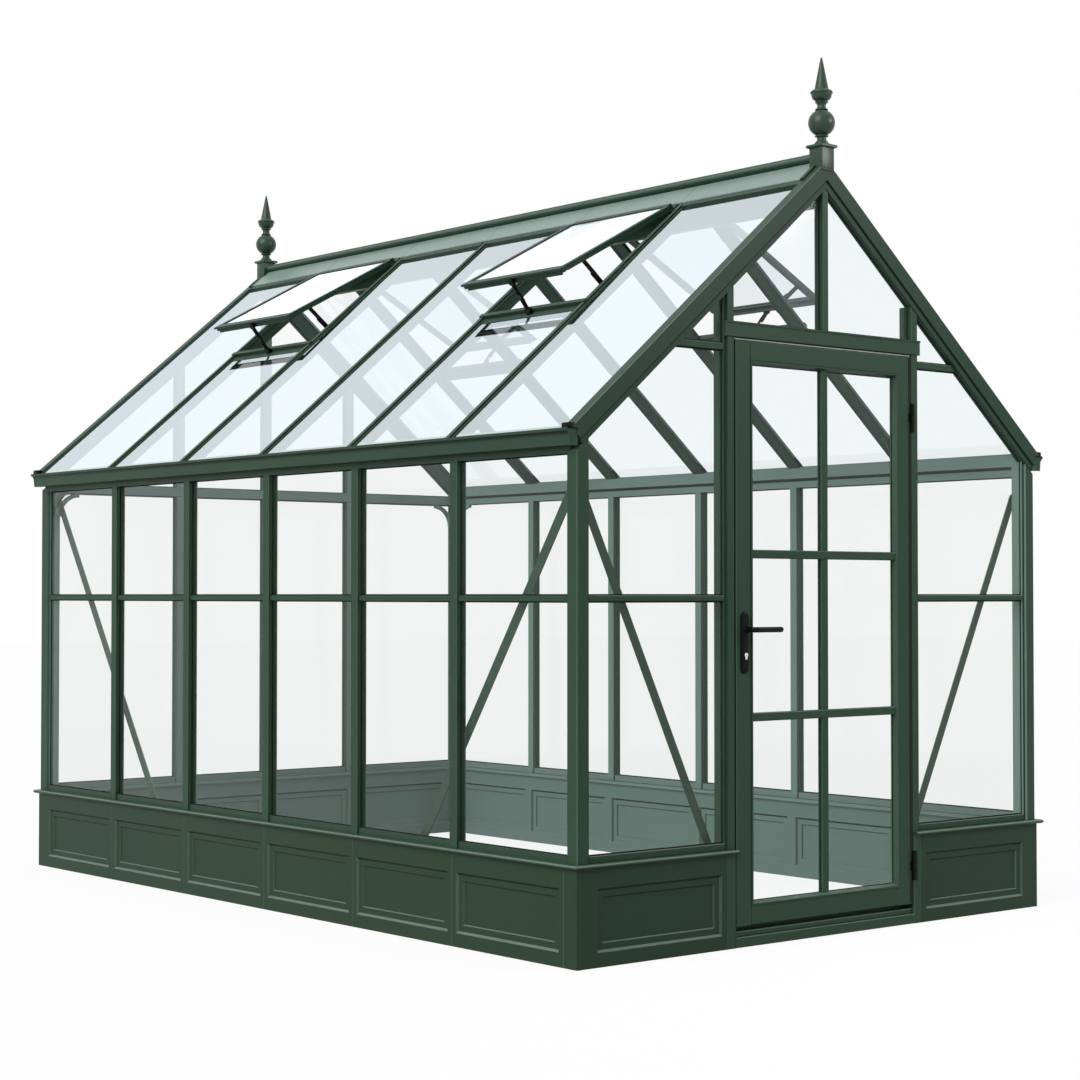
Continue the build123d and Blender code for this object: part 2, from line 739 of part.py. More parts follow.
with BuildPart() as ridge_beam:
    with BuildSketch(Plane.XZ):
        with BuildLine():
            half = ridge_beam_width / 2
            top = on_slope(down_to(half, 0), 0)[1]
            Polyline((-half, apex_height - ridge_beam_deep), (half, apex_height - ridge_beam_deep),
                     (half, top), (0, apex_height), (-half, top), close=True)
        make_face()
    extrude(amount=verge_inner, both=True)
    for piece in (block, mirror(block, about=Plane.XZ), apex_bar, rear_mullions.part):
        add(piece, mode=Mode.SUBTRACT)
save(ridge_beam.part, "ridge_beam")

with BuildSketch(Plane.XZ) as plate_section:
    with BuildLine():
        Polyline(
            (0, apex_height),
            (0, apex_height + plate_thick / run),
            on_slope(ridge_plate, plate_thick),
            on_slope(ridge_plate, -glass_top),
            on_slope(ridge_plate - plate_hem, -glass_top),
            on_slope(ridge_plate - plate_hem, 0),
            close=True,
        )
    make_face()
    mirror(about=Plane.YZ)

plates = []
for i in range(bay_count):
    low = -verge_inner if i == 0 else bay_lines[i] + plate_gap / 2
    high = verge_inner if i == bay_count - 1 else bay_lines[i + 1] - plate_gap / 2
    with BuildPart() as plate:
        add(plate_section.sketch.moved(Location((0, high, 0))))
        extrude(amount=high - low, dir=(0, -1, 0))
    plates.append(plate.part)
with BuildPart() as ridge_plates:
    add(plates)
    add(block, mode=Mode.SUBTRACT)
    add(mirror(block, about=Plane.XZ), mode=Mode.SUBTRACT)
save(ridge_plates.part, "ridge_plates")

roll_end = block_front - finial_block
with BuildPart() as roll:
    with BuildSketch(Plane.XZ):
        with Locations((0, apex_height + ridge_roll)):
            Circle(ridge_roll)
        with BuildLine():
            top = apex_height + plate_thick / run
            Polyline((0, top), (cut, top - cut * rise / run), (-cut, top - cut * rise / run),
                     close=True)
        make_face(mode=Mode.SUBTRACT)
    extrude(amount=roll_end, both=True)
save(roll.part, "ridge_roll")

clear_roof = []
for i in range(bay_count):
    low = -verge_inner if i == 0 else bay_lines[i] + cap_width / 2
    high = verge_inner if i == bay_count - 1 else bay_lines[i + 1] - cap_width / 2
    clear_roof.append((low, high))
ridge_rails = []
for y_range in clear_roof:
    with BuildPart() as rail:
        with BuildSketch(right_slope.offset(-glass_top)):
            with Locations((ridge_plate + ridge_rail / 2, (y_range[0] + y_range[1]) / 2)):
                Rectangle(ridge_rail, y_range[1] - y_range[0])
        extrude(amount=cap_deep)
    ridge_rails.append(rail.part)
ridge_rails = ridge_rails + [mirror(piece, about=Plane.YZ) for piece in ridge_rails]
save(collect(*ridge_rails), "ridge_rails")

# ---- Rafters --------------------------------------------------------------------------------

rafter_reach = down_to(rafter_end, 0) + cap_deep
ridge_half = ridge_beam_width / 2
stem_end = slab((side_face - eaves_wall, cut), (-cut, cut), (0, cut * 2))
with BuildPart() as rafters:
    with BuildSketch(along_right.offset(ridge_plate)) as caps:
        with Locations(*[(y, -(fin_deep + cap_deep) / 2) for y in mullion_lines]):
            Rectangle(cap_width, cap_deep - fin_deep)
        with Locations(*[(y, -fin_deep / 2) for y in mullion_lines]):
            Rectangle(fin_width, fin_deep)
        chamfer(caps.vertices().group_by(Axis.Y)[-1], edge)
    extrude(amount=rafter_reach - ridge_plate)
    with BuildSketch(along_right):
        with Locations(*[(y, -(glass_top + glass_under) / 2) for y in mullion_lines]):
            Rectangle(web_width, glass)
    extrude(amount=rafter_reach)
    with BuildSketch(along_right):
        with Locations(*[(y, -(glass_under + stem_deep) / 2) for y in mullion_lines]):
            Rectangle(stem_width, stem_deep - glass_under)
    extrude(amount=rafter_reach)
    add(collect(stem_end, keep=roof_space(glass_under)), mode=Mode.SUBTRACT)
    add(slab((rafter_end, cut), (-cut, cut), (0, cut * 2)), mode=Mode.SUBTRACT)
    add(slab((-cut, ridge_half), (-cut, cut), (0, cut * 2)), mode=Mode.SUBTRACT)
save(rafters.part, "right_rafters")
save(mirror(rafters.part, about=Plane.YZ), "left_rafters")

# ---- Roof vents, fixed open -------------------------------------------------------------------

hinge_down = ridge_plate + ridge_rail + vent_barrel + barrel_clear
vent_hinge = on_slope(hinge_down, 0)
vent_pitch = radians(pitch - vent_open)
vent_plane = Plane(origin=(vent_hinge[0], 0, vent_hinge[1]), x_dir=(cos(vent_pitch), 0, -sin(vent_pitch)),
                   z_dir=(sin(vent_pitch), 0, cos(vent_pitch)))
vent_side = Plane(origin=(vent_hinge[0], 0, vent_hinge[1]), x_dir=(cos(vent_pitch), 0, -sin(vent_pitch)),
                  z_dir=(0, -1, 0))
vent_half = bay / 2 - vent_overlap
between_caps = (bay - cap_width) / 2
top_rail_end = 30
bottom_rail_start = vent_length - vent_rail


def vent_point(down, out):
    """A point (x, z) of a lifted vent: down from its hinge, and out from its underside."""
    return (vent_hinge[0] + down * cos(vent_pitch) + out * sin(vent_pitch),
            vent_hinge[1] - down * sin(vent_pitch) + out * cos(vent_pitch))


with BuildPart() as vent_pane:
    with BuildSketch(vent_plane.offset(vent_glass_low)):
        with Locations(((top_rail_end + bottom_rail_start) / 2, 0)):
            Rectangle(bottom_rail_start - top_rail_end + 2 * rail_seat,
                      2 * (vent_half - vent_rail + pane_seat))
    extrude(amount=glass)

with BuildPart() as vent_side_rails:
    with BuildSketch(vent_plane):
        with Locations(((top_rail_end + bottom_rail_start) / 2, vent_half - vent_rail / 2),
                       ((top_rail_end + bottom_rail_start) / 2, vent_rail / 2 - vent_half)):
            Rectangle(bottom_rail_start - top_rail_end, vent_rail)
    extrude(amount=vent_thick)
    add(vent_pane.part, mode=Mode.SUBTRACT)

with BuildPart() as vent_end_rails:
    with BuildSketch(vent_side):
        RegularPolygon(vent_barrel, 8)
        with Locations(((top_rail_end - barrel_gap) / 2, (vent_thick + barrel_gap) / 2)):
            Rectangle(top_rail_end + barrel_gap, vent_thick - barrel_gap)
    extrude(amount=between_caps - barrel_gap, both=True)
    with BuildSketch(vent_side):
        with BuildLine():
            lip = vent_length + vent_lip
            flange = vent_length - vent_rail / 2
            Polyline((bottom_rail_start, vent_thick), (lip, vent_thick),
                     (lip, vent_thick - lip_thick), (vent_length, vent_thick - lip_thick),
                     (vent_length, 0), (flange, 0), (flange, vent_step),
                     (bottom_rail_start, vent_step), close=True)
        make_face()
    extrude(amount=vent_half, both=True)
    with BuildSketch(vent_side):
        with Locations((vent_length - skirt_thick / 2, -vent_skirt / 2)):
            Rectangle(skirt_thick, vent_skirt)
    extrude(amount=between_caps - barrel_gap, both=True)
    add(vent_pane.part, mode=Mode.SUBTRACT)

with BuildPart() as cill:
    with BuildSketch(side_right):
        with Locations((cill_start + cill_top / 2, cill_thick / 2)):
            Rectangle(cill_top, cill_thick)
    extrude(amount=bay / 2 + cill_lap, both=True)
    with BuildSketch(side_right):
        with BuildLine():
            front, foot = cill_start + cill_top, cill_start + cill_top + cill_rail
            Polyline((cill_start, 0), (front, 0), (front, -cill_drop), (foot, -cill_drop),
                     (foot, -cill_deep), (front - cill_wall, -cill_deep),
                     (front - cill_wall, -glass_under), (cill_start, -glass_under), close=True)
        make_face()
    extrude(amount=between_caps, both=True)

stay_top = vent_point(vent_length - vent_rail / 4, vent_step)
stay_foot = on_slope(cill_start + cill_top / 2, cill_thick)
stay = strut(stay_top, stay_foot, stay_thick, stay_wide)
seat_out = cill_thick + stay_seat_high / 2
stay_seat = strut(on_slope(cill_start + stay_seat_inset, seat_out),
                  on_slope(cill_start + cill_top - stay_seat_inset, seat_out),
                  stay_seat_wide, stay_seat_high)
arm = strut(vent_point(arm_down, vent_step), on_slope(arm_foot, -arm_deep), arm_thick, arm_wide)
arm_y = cap_width / 2 + arm_thick / 2 - bay / 2
arm_seat = strut(on_slope(arm_foot - arm_seat_long / 2, -arm_deep),
                 on_slope(arm_foot + arm_seat_long / 2, -arm_deep),
                 (cap_width - stem_width) / 2, arm_seat_high)
seat_y = (cap_width + stem_width) / 4 - bay / 2
vent_stay = collect(
    stay, stay_seat, arm.moved(Location((0, arm_y, 0))), arm_seat.moved(Location((0, seat_y, 0))),
    holes=(vent_end_rails.part, vent_side_rails.part, cill.part))


def in_each_vent_bay(piece):
    """Copies of a piece of the right slope in both vent bays, and their mirror images."""
    copies = [piece.moved(Location((0, y, 0))) for y in vent_middles]
    return collect(*copies, *[mirror(copy, about=Plane.YZ) for copy in copies])


save(in_each_vent_bay(vent_pane.part), "vent_glass")
save(in_each_vent_bay(vent_side_rails.part), "vent_side_rails")
save(in_each_vent_bay(vent_end_rails.part), "vent_end_rails")
save(collect(in_each_vent_bay(cill.part), holes=(right_roof_glass, left_roof_glass)), "vent_cills")
save(in_each_vent_bay(vent_stay), "vent_stays")

# ---- Braces and knee brackets -----------------------------------------------------------------

under_frame = slab((-cut, cut), (-2 * cut, 2 * cut), (-cut, sill_top))


def flat_brace(plane, start, end):
    """A flat bar on an upright plane, between two points of it, standing on the sill."""
    angle = degrees(atan2(end[1] - start[1], end[0] - start[0]))
    with BuildPart() as bar:
        with BuildSketch(plane):
            with Locations(((start[0] + end[0]) / 2, (start[1] + end[1]) / 2)):
                Rectangle(hypot(end[0] - start[0], end[1] - start[1]), brace_width, rotation=angle)
        extrude(amount=brace_thick)
        add(under_frame, mode=Mode.SUBTRACT)
    return bar.part


wall_plane = Plane.YZ.offset(post_inner_x - brace_thick)
brace = mirror(flat_brace(wall_plane, (post_inner_y + post / 3, brace_top),
                          (half_length - brace_reach, sill_top - brace_root)), about=Plane.YZ)
left_braces = [brace, mirror(brace, about=Plane.XZ)]

gable_plane = Plane.XZ.offset(post_inner_y - brace_thick)
brace = flat_brace(gable_plane, (post_inner_x + brace_thick, gable_brace_top),
                   (door_side + gable_brace_foot, sill_top - brace_root))
save(collect(*left_braces, brace, mirror(brace, about=Plane.YZ)), "braces")


def knee(plane, corner, thickness):
    """A curved bracket in the corner of a post and a beam; the plane's x runs along the beam."""
    with BuildPart() as bracket:
        with BuildSketch(plane):
            middle = (corner[0] - knee_radius, corner[1] - knee_radius)
            with Locations(middle):
                Circle(knee_radius)
                Circle(knee_radius - knee_width, mode=Mode.SUBTRACT)
            with Locations((middle[0] + knee_radius / 2, middle[1] + knee_radius / 2)):
                Rectangle(knee_radius, knee_radius, mode=Mode.INTERSECT)
            with Locations((corner[0] - knee_plate / 2, middle[1] - knee_foot / 4)):
                Rectangle(knee_plate, knee_foot)
            with Locations((middle[0] - knee_foot / 4, corner[1] - knee_plate / 2)):
                Rectangle(knee_foot, knee_plate)
        extrude(amount=thickness)
    return bracket.part


knee_wall = knee(Plane.YZ.offset(side_face - bar_depth), (post_inner_y, eaves_low), knee_thick)
knee_gable = knee(Plane.XZ.offset(-gable_face + bar_depth - knee_thick),
                  (post_inner_x, tie_low), knee_thick)
knees = [knee_wall, knee_gable, mirror(knee_wall, about=Plane.YZ), mirror(knee_gable, about=Plane.YZ)]
save(collect(*knees), "knee_brackets")

# ---- Door -------------------------------------------------------------------------------------

leaf_y = (-gable_face, -gable_face + leaf_thick)
leaf_half = leaf_width / 2
field_half = leaf_half - stile_width
sight_half = field_half - bead_width
field_z = (leaf_low + rail_height, leaf_high - rail_height)
sight_z = (field_z[0] + bead_width, field_z[1] - bead_width)
lock_x = -leaf_half + lock_inset
pivot_y = -gable_face - hinge_radius

leaf_middle = -gable_face + leaf_thick / 2
lock_reach = leaf_thick / 2 + lock_plate_thick
across_door = Plane.XZ.offset(-leaf_middle)

with BuildPart() as spindle_hole:
    with BuildSketch(across_door):
        with Locations((lock_x, lever_height)):
            Circle(spindle_bore)
    extrude(amount=2 * lock_reach, both=True)

with BuildPart() as lock_cylinder:
    with BuildSketch(across_door):
        with Locations((lock_x, key_height)):
            Circle(key_radius)
        with Locations((lock_x, key_height - key_radius)):
            Rectangle(key_web, 2 * key_radius)
    extrude(amount=lock_reach + key_proud, both=True)
save(lock_cylinder.part, "lock_cylinder")
lock_holes = (spindle_hole.part, lock_cylinder.part)

stile_right = beam((field_half, leaf_half), leaf_y, (leaf_low, leaf_high))
stiles = collect(stile_right, mirror(stile_right, about=Plane.YZ), holes=lock_holes)
save(stiles, "door_stiles")
door_rails = [
    beam((-field_half, field_half), leaf_y, (leaf_low, field_z[0])),
    beam((-field_half, field_half), leaf_y, (field_z[1], leaf_high)),
]
save(collect(*door_rails), "door_rails")


def bead_ring(outer_y, inner_y):
    """A bead round the door's glass: a flat edge and a slope from there to the glass."""
    depth = abs(outer_y - inner_y)
    slope = bead_width - bead_flat
    towards = 1 if inner_y > outer_y else -1
    ring_plane = Plane(origin=(0, outer_y, (field_z[0] + field_z[1]) / 2), x_dir=(1, 0, 0),
                       z_dir=(0, towards, 0))
    tall = field_z[1] - field_z[0]
    with BuildPart() as ring:
        with BuildSketch(ring_plane):
            Rectangle(2 * field_half, tall)
        extrude(amount=depth)
        with BuildSketch(ring_plane):
            Rectangle(2 * (sight_half + slope), tall - 2 * bead_flat)
        extrude(amount=depth, taper=degrees(atan2(slope, depth)), mode=Mode.SUBTRACT)
    return ring.part


glass_y = (leaf_y[0] + door_glass_deep, leaf_y[0] + door_glass_deep + glass)
front_bead = bead_ring(leaf_y[0] - bead_proud, glass_y[0])
back_bead = bead_ring(leaf_y[0] + bead_back, glass_y[1])
save(collect(front_bead, back_bead), "door_beads")

row_edges = [sight_z[0]] + list(cross_bar_lines) + [sight_z[1]]
door_panes = []
for i in range(len(row_edges) - 1):
    low_seat = -door_pane_seat if i == 0 else bar_web_door / 2
    high_seat = -door_pane_seat if i == len(row_edges) - 2 else bar_web_door / 2
    door_panes.append(slab((bar_web_door / 2, sight_half + door_pane_seat), glass_y,
                           (row_edges[i] + low_seat, row_edges[i + 1] - high_seat)))
door_panes = door_panes + [mirror(piece, about=Plane.YZ) for piece in door_panes]
door_glass = collect(*door_panes)
save(door_glass, "door_glass")

cross_bar_y = [leaf_y[0] + deep for deep in cross_bar_deep]
upright_y = [leaf_y[0] + deep for deep in upright_deep]
cross_bars = [beam((-field_half, field_half), cross_bar_y, (z - cross_bar / 2, z + cross_bar / 2))
              for z in cross_bar_lines]
upright_z = [field_z[0]] + list(cross_bar_lines) + [field_z[1]]
uprights = []
for i in range(len(upright_z) - 1):
    low = upright_z[i] + (cross_bar / 2 if i else 0)
    high = upright_z[i + 1] - (cross_bar / 2 if i < len(upright_z) - 2 else 0)
    uprights.append(beam((-upright_bar / 2, upright_bar / 2), upright_y, (low, high)))
save(collect(*cross_bars, holes=(door_glass, front_bead, back_bead)), "door_cross_bars")
save(collect(*uprights, holes=(door_glass, front_bead, back_bead)), "door_upright_bars")


def turned(radius, low, high, bore=0):
    """An upright round piece of a hinge."""
    with BuildPart(Plane(origin=(hinge_x, pivot_y, low))) as piece:
        Cylinder(radius, high - low, align=(Align.CENTER, Align.CENTER, Align.MIN))
        if bore:
            Cylinder(bore, high - low, align=(Align.CENTER, Align.CENTER, Align.MIN),
                     mode=Mode.SUBTRACT)
    return piece.part


frame_hinges = []
leaf_hinges = []
flag_y = (-gable_face - flag_thick, -gable_face)
for z in hinge_heights:
    third = hinge_height / 3
    low, high = z - hinge_height / 2, z + hinge_height / 2
    frame_flag = slab(flag_x, flag_y, (low, high))
    knuckles = []
    for ends in ((low, low + third - knuckle_gap), (high - third + knuckle_gap, high)):
        knuckles.append(turned(hinge_radius, *ends))
        knuckles.append(slab((hinge_x, flag_x[0]), flag_y, ends))
    frame_hinges.append(collect(frame_flag, *knuckles, turned(hinge_pin, low, high)))
    middle_third = (low + third + knuckle_gap, high - third - knuckle_gap)
    barrel = turned(hinge_radius, *middle_third)
    pin_hole = turned(hinge_pin + pin_clearance, low, high)
    leaf_hinges.append(collect(slab((hinge_x - leaf_flag, hinge_x), flag_y, middle_third), barrel,
                               holes=(pin_hole,)))
save(collect(*frame_hinges), "frame_hinges")
save(collect(*leaf_hinges), "leaf_hinges")

with BuildPart() as plate_front:
    with BuildSketch(Plane.XZ.offset(gable_face)):
        with Locations((lock_x, lock_height)):
            Rectangle(lock_plate_width, lock_plate_height)
    extrude(amount=lock_plate_thick)
    fillet(plate_front.edges().filter_by(Axis.Y), lock_plate_round)
plate_back = mirror(plate_front.part, about=across_door)
save(collect(plate_front.part, plate_back, holes=lock_holes), "lock_plates")

# ---- Lever handle: a lever on each side of the door and the spindle between them ---------------

lever_centre = -gable_face - lock_plate_thick - lever_out
with BuildPart() as lever:
    with BuildSketch(Plane.XZ.offset(-lever_centre)):
        with Locations((lock_x, lever_height)):
            Circle(lever_boss)
    extrude(amount=lever_gap - lever_out)
    with BuildSketch(Plane.YZ.offset(lock_x - lever_boss)) as lever_section:
        with Locations((lever_centre, lever_height)):
            Rectangle(2 * lever_radius, 2 * lever_radius)
        chamfer(lever_section.vertices(), lever_bevel)
    extrude(amount=lever_reach + lever_boss)
lever_back = mirror(lever.part, about=across_door)
with BuildPart() as spindle:
    with BuildSketch(across_door):
        with Locations((lock_x, lever_height)):
            Circle(spindle_radius)
    extrude(amount=lock_reach + spindle_over, both=True)
save(collect(lever.part, lever_back, spindle.part), "door_handle")
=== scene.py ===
# %% [markdown]
# # A glass greenhouse, step by step
#
# The construction of this greenhouse comes ready made: every bar, pane and panel is already in
# place, at its real size. What is left for Blender is how it looks: the powder-coated paint, the
# glass, and the small turned, cast and pressed pieces that a plain drawing of the frame leaves
# out. Each step below first says what the real thing is, and then makes it.

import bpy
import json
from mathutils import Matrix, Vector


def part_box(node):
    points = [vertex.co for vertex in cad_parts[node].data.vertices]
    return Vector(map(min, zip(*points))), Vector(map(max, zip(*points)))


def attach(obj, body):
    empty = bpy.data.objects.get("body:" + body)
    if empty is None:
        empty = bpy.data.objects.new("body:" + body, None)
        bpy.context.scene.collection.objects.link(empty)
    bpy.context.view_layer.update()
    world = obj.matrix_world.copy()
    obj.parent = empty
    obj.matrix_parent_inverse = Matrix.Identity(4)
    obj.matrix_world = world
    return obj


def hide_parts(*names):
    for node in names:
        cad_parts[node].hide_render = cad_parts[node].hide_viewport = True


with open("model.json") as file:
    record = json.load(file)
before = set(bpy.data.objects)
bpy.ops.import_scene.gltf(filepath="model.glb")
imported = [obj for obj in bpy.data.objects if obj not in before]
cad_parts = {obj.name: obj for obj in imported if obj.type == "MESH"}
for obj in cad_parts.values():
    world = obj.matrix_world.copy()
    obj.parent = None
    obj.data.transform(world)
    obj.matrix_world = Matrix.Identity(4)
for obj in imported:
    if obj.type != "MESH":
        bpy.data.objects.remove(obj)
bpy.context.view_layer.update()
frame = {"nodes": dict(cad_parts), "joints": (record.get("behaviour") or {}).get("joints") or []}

import bmesh
import bpy
import json
from math import asin, atan2, cos, degrees, pi, radians, sin, sqrt
from mathutils import Vector

nodes = frame["nodes"]
joint_places = {joint["name"]: Vector(joint["pos_m"]) for joint in frame["joints"]}

# %% [markdown]
# ## Measures
#
# Everything new has to fit what is there. Its place is read from the boxes of the nodes that it
# touches, in the cell that makes it, and on the roof it is measured along the slope. The roof
# slopes at 40 degrees, and two small functions give points on it: one on the fixed slope, and
# one on a vent, which is lifted by 12 degrees about its hinge.

# %% Points on the roof
PITCH = radians(40)
VENT_LIFT = radians(12)
APEX = 2.884
VENT_HINGE_DOWN = 0.1532


def on_slope(down, out, y=0.0):
    """A point of the right roof slope: down from the apex, and out from the rafters' tops."""
    return Vector((down * cos(PITCH) + out * sin(PITCH), y,
                   APEX - down * sin(PITCH) + out * cos(PITCH)))


VENT_HINGE = on_slope(VENT_HINGE_DOWN, 0)


def on_vent(down, out, y=0.0):
    """A point of a lifted vent: down from its hinge, and out from its underside."""
    turn = PITCH - VENT_LIFT
    return Vector((VENT_HINGE.x + down * cos(turn) + out * sin(turn), y,
                   VENT_HINGE.z - down * sin(turn) + out * cos(turn)))


print("the vents turn about", tuple(VENT_HINGE))

# %% [markdown]
# ## Camera, floor and light
#
# The greenhouse stands in a white studio. The camera is a little over a metre from the ground,
# off the near corner, so that the long wall and the door gable both show. The floor and the
# world are white to the eye, to a mirror and through glass, but the light that falls on the
# paint stays at a plain level: a soft key from the left and above, and a soft box in front.

# %% Place the camera
CAMERA_PLACE = (-6.178, -7.690, 1.263)
CAMERA_RISE = 1.39
CAMERA_HEADING = -39.73

camera_data = bpy.data.cameras.new("studio_camera")
camera_data.lens = 75.06
camera_data.sensor_width = 36
camera_data.clip_end = 200
camera = bpy.data.objects.new("studio_camera", camera_data)
camera.location = CAMERA_PLACE
camera.rotation_euler = (radians(90 + CAMERA_RISE), 0, radians(CAMERA_HEADING))
bpy.context.scene.collection.objects.link(camera)
bpy.context.scene.camera = camera
bpy.context.scene.view_settings.view_transform = "Standard"
print("camera at", tuple(camera.location))

# %% [markdown]
# ### A small language for materials
#
# A material is a graph of nodes. Written out link by link it is long and hard to read, so two
# helpers shorten it. `Wire` wraps a socket so that sums can be written as sums, and
# `Finish.node` adds any other node: its type, its settings, and the values of its sockets.

# %% Wire and Finish
class Wire:
    """A socket that can be used in sums."""

    def __init__(self, tree, socket):
        self.tree = tree
        self.socket = socket

    def maths(self, operation, left, right):
        node = self.tree.nodes.new("ShaderNodeMath")
        node.operation = operation
        plug(self.tree, node.inputs[0], left)
        plug(self.tree, node.inputs[1], right)
        return Wire(self.tree, node.outputs[0])

    def __add__(self, other):
        return self.maths("ADD", self, other)

    def __mul__(self, other):
        return self.maths("MULTIPLY", self, other)

    def __sub__(self, other):
        return self.maths("SUBTRACT", self, other)

    def __rsub__(self, other):
        return self.maths("SUBTRACT", other, self)

    def __pow__(self, other):
        return self.maths("POWER", self, other)

    def __abs__(self):
        return self.maths("ABSOLUTE", self, 0)

    __radd__ = __add__
    __rmul__ = __mul__


def plug(tree, socket, value):
    """Sets a socket to a value, or links a wire to it."""
    if isinstance(value, Wire):
        tree.links.new(value.socket, socket)
    else:
        socket.default_value = value


class Finish:
    """One material, or the world, and the nodes that make it."""

    def __init__(self, name, owner=None):
        self.owner = owner or bpy.data.materials.new(name)
        self.owner.use_nodes = True
        self.tree = self.owner.node_tree
        self.tree.nodes.clear()

    def node(self, kind, sockets=None, output=None, **settings):
        """Adds a node: its settings first, then the values or links of its sockets."""
        node = self.tree.nodes.new(kind)
        for name, value in settings.items():
            setattr(node, name, value)
        for name, value in (sockets or {}).items():
            socket = next(s for s in node.inputs if s.name == name and s.enabled)
            plug(self.tree, socket, value)
        found = [s for s in node.outputs if s.enabled and output in (None, s.name)]
        return Wire(self.tree, found[0])

    def mixed(self, share, first, second):
        """One shader laid over another."""
        node = self.tree.nodes.new("ShaderNodeMixShader")
        for socket, value in zip(node.inputs, (share, first, second)):
            plug(self.tree, socket, value)
        return Wire(self.tree, node.outputs[0])

    def finish(self, shader, kind="ShaderNodeOutputMaterial"):
        """Sends the shader to the output."""
        self.tree.links.new(shader.socket, self.tree.nodes.new(kind).inputs["Surface"])
        return self.owner


print("material helpers ready")

# %% [markdown]
# ### The studio
#
# A ray from the camera, one off a mirror and one through glass all see plain white. The other
# rays, which carry light to the paint, see a dimmer grey. A wide sun lights the long wall from
# the left, and a soft box lights the door gable from in front and above.

# %% World and floor
WORLD_LIGHT = 0.31
FLOOR_GREY = 0.6
FLOOR_GLOW = 1.12
FLOOR_GLOW_SHARE = 0.80


def seen_white(finish):
    """1 for the rays that see the studio itself: from the camera, off gloss, or through glass."""
    seen = [finish.node("ShaderNodeLightPath", output=name)
            for name in ("Is Camera Ray", "Is Glossy Ray", "Is Transmission Ray")]
    return finish.node("ShaderNodeClamp", {"Value": seen[0] + seen[1] + seen[2]})


world = bpy.data.worlds.new("studio")
bpy.context.scene.world = world
studio = Finish("studio", world)
white_share = seen_white(studio)
studio.finish(studio.node("ShaderNodeBackground", {
    "Color": (1, 1, 1, 1), "Strength": white_share * (1 - WORLD_LIGHT) + WORLD_LIGHT}),
    "ShaderNodeOutputWorld")

bpy.ops.object.select_all(action="DESELECT")
bpy.ops.mesh.primitive_plane_add(size=90, location=(0, 0, -0.0006))
floor = bpy.context.object
floor.name = "studio_floor"
floor_finish = Finish("studio_floor")
painted_floor = floor_finish.node("ShaderNodeBsdfDiffuse", {
    "Color": (FLOOR_GREY, FLOOR_GREY, FLOOR_GREY, 1)})
lit_floor = floor_finish.node("ShaderNodeEmission", {
    "Color": (1, 1, 1, 1), "Strength": FLOOR_GLOW})
floor.data.materials.append(floor_finish.finish(floor_finish.mixed(
    seen_white(floor_finish) * FLOOR_GLOW_SHARE, painted_floor, lit_floor)))
print("world and floor ready")

# %% Sun and soft box
def lamp(name, kind, strength, towards, place=(0, 0, 0)):
    """A lamp that shines from a place along a direction."""
    light = bpy.data.lights.new(name, kind)
    light.energy = strength
    holder = bpy.data.objects.new(name, light)
    holder.location = place
    holder.rotation_euler = Vector(towards).to_track_quat("-Z", "Y").to_euler()
    bpy.context.scene.collection.objects.link(holder)
    return light


key_light = lamp("key_light", "SUN", 2.55, (0.84, 0.12, -0.53))
key_light.angle = radians(50)
soft_box = lamp("soft_box", "AREA", 130, (-0.42, 0.80, -0.36), (3.4, -6.4, 4.4))
soft_box.shape = "DISK"
soft_box.size = 2.4
print("lamps:", key_light.name, soft_box.name)

# %% [markdown]
# ## Paint
#
# The bars are aluminium with a baked powder coat: a dark, slightly blue green with a soft
# sheen. Close up the coat has the faint ripple of orange peel, its tone drifts a little from
# place to place, and fine dust settles where a face looks up. Every bar has small bevels, and
# light and shade are painted onto them: a painted highlight, a thin bright line, where they look
# up, and a painted shade, a thin dark line, where they look down. A face is a bevel when its
# normal lies between the bar's own directions, so `edge_on` finds the bevels from the normal
# alone. The faces that look into the room are painted paler and greyer, a painted light that
# stands in for the light in the room, and `looking_in` finds those.
#
# One function makes the coat, so that the bars, the base, the turned finials and the paler ridge
# plates stay of one family. The bars of the roof tilt with it, and so does their bevel test. The
# undersides of the ridge plates lie in shade, and a pale painted light is laid on them.

# %% Colours, spots, directions and steps
def mix_colour(finish, share, first, second):
    """A colour between two others."""
    return finish.node("ShaderNodeMix", {
        "Factor": share, "A": first, "B": second}, "Result", data_type="RGBA")


def noise(finish, place, scale, detail=2.0):
    """Soft random spots, from about 0.3 to 0.7."""
    return finish.node("ShaderNodeTexNoise", {
        "Vector": place, "Scale": scale, "Detail": detail}, "Fac")


def normal_of(finish):
    """The direction in which a face looks."""
    return finish.node("ShaderNodeNewGeometry", output="Normal")


def parts(finish, vector):
    """The x, y and z of a vector, as three wires."""
    split = finish.node("ShaderNodeSeparateXYZ", {"Vector": vector}).socket.node
    return [Wire(finish.tree, socket) for socket in split.outputs]


def ramp(finish, value, start, end, first=0.0, last=1.0):
    """A value that is `first` up to the start, `last` past the end, and between them slides."""
    return finish.node("ShaderNodeMapRange", {
        "Value": value, "From Min": start, "From Max": end, "To Min": first, "To Max": last})


print("colour helpers ready")

# %% Bevels and inner faces
def edge_on(finish, tilt):
    """1 on the small bevels along a bar's edges, 0 on its flat sides; tilt is the bar's slope."""
    side, depth, up = parts(finish, normal_of(finish))
    side = abs(side)
    along = side * cos(tilt) - up * sin(tilt)
    out = side * sin(tilt) + up * cos(tilt)
    flat = (along * along) ** 4 + (out * out) ** 4 + (depth * depth) ** 4
    return ramp(finish, flat, 0.35, 0.75, 1.0, 0.0)


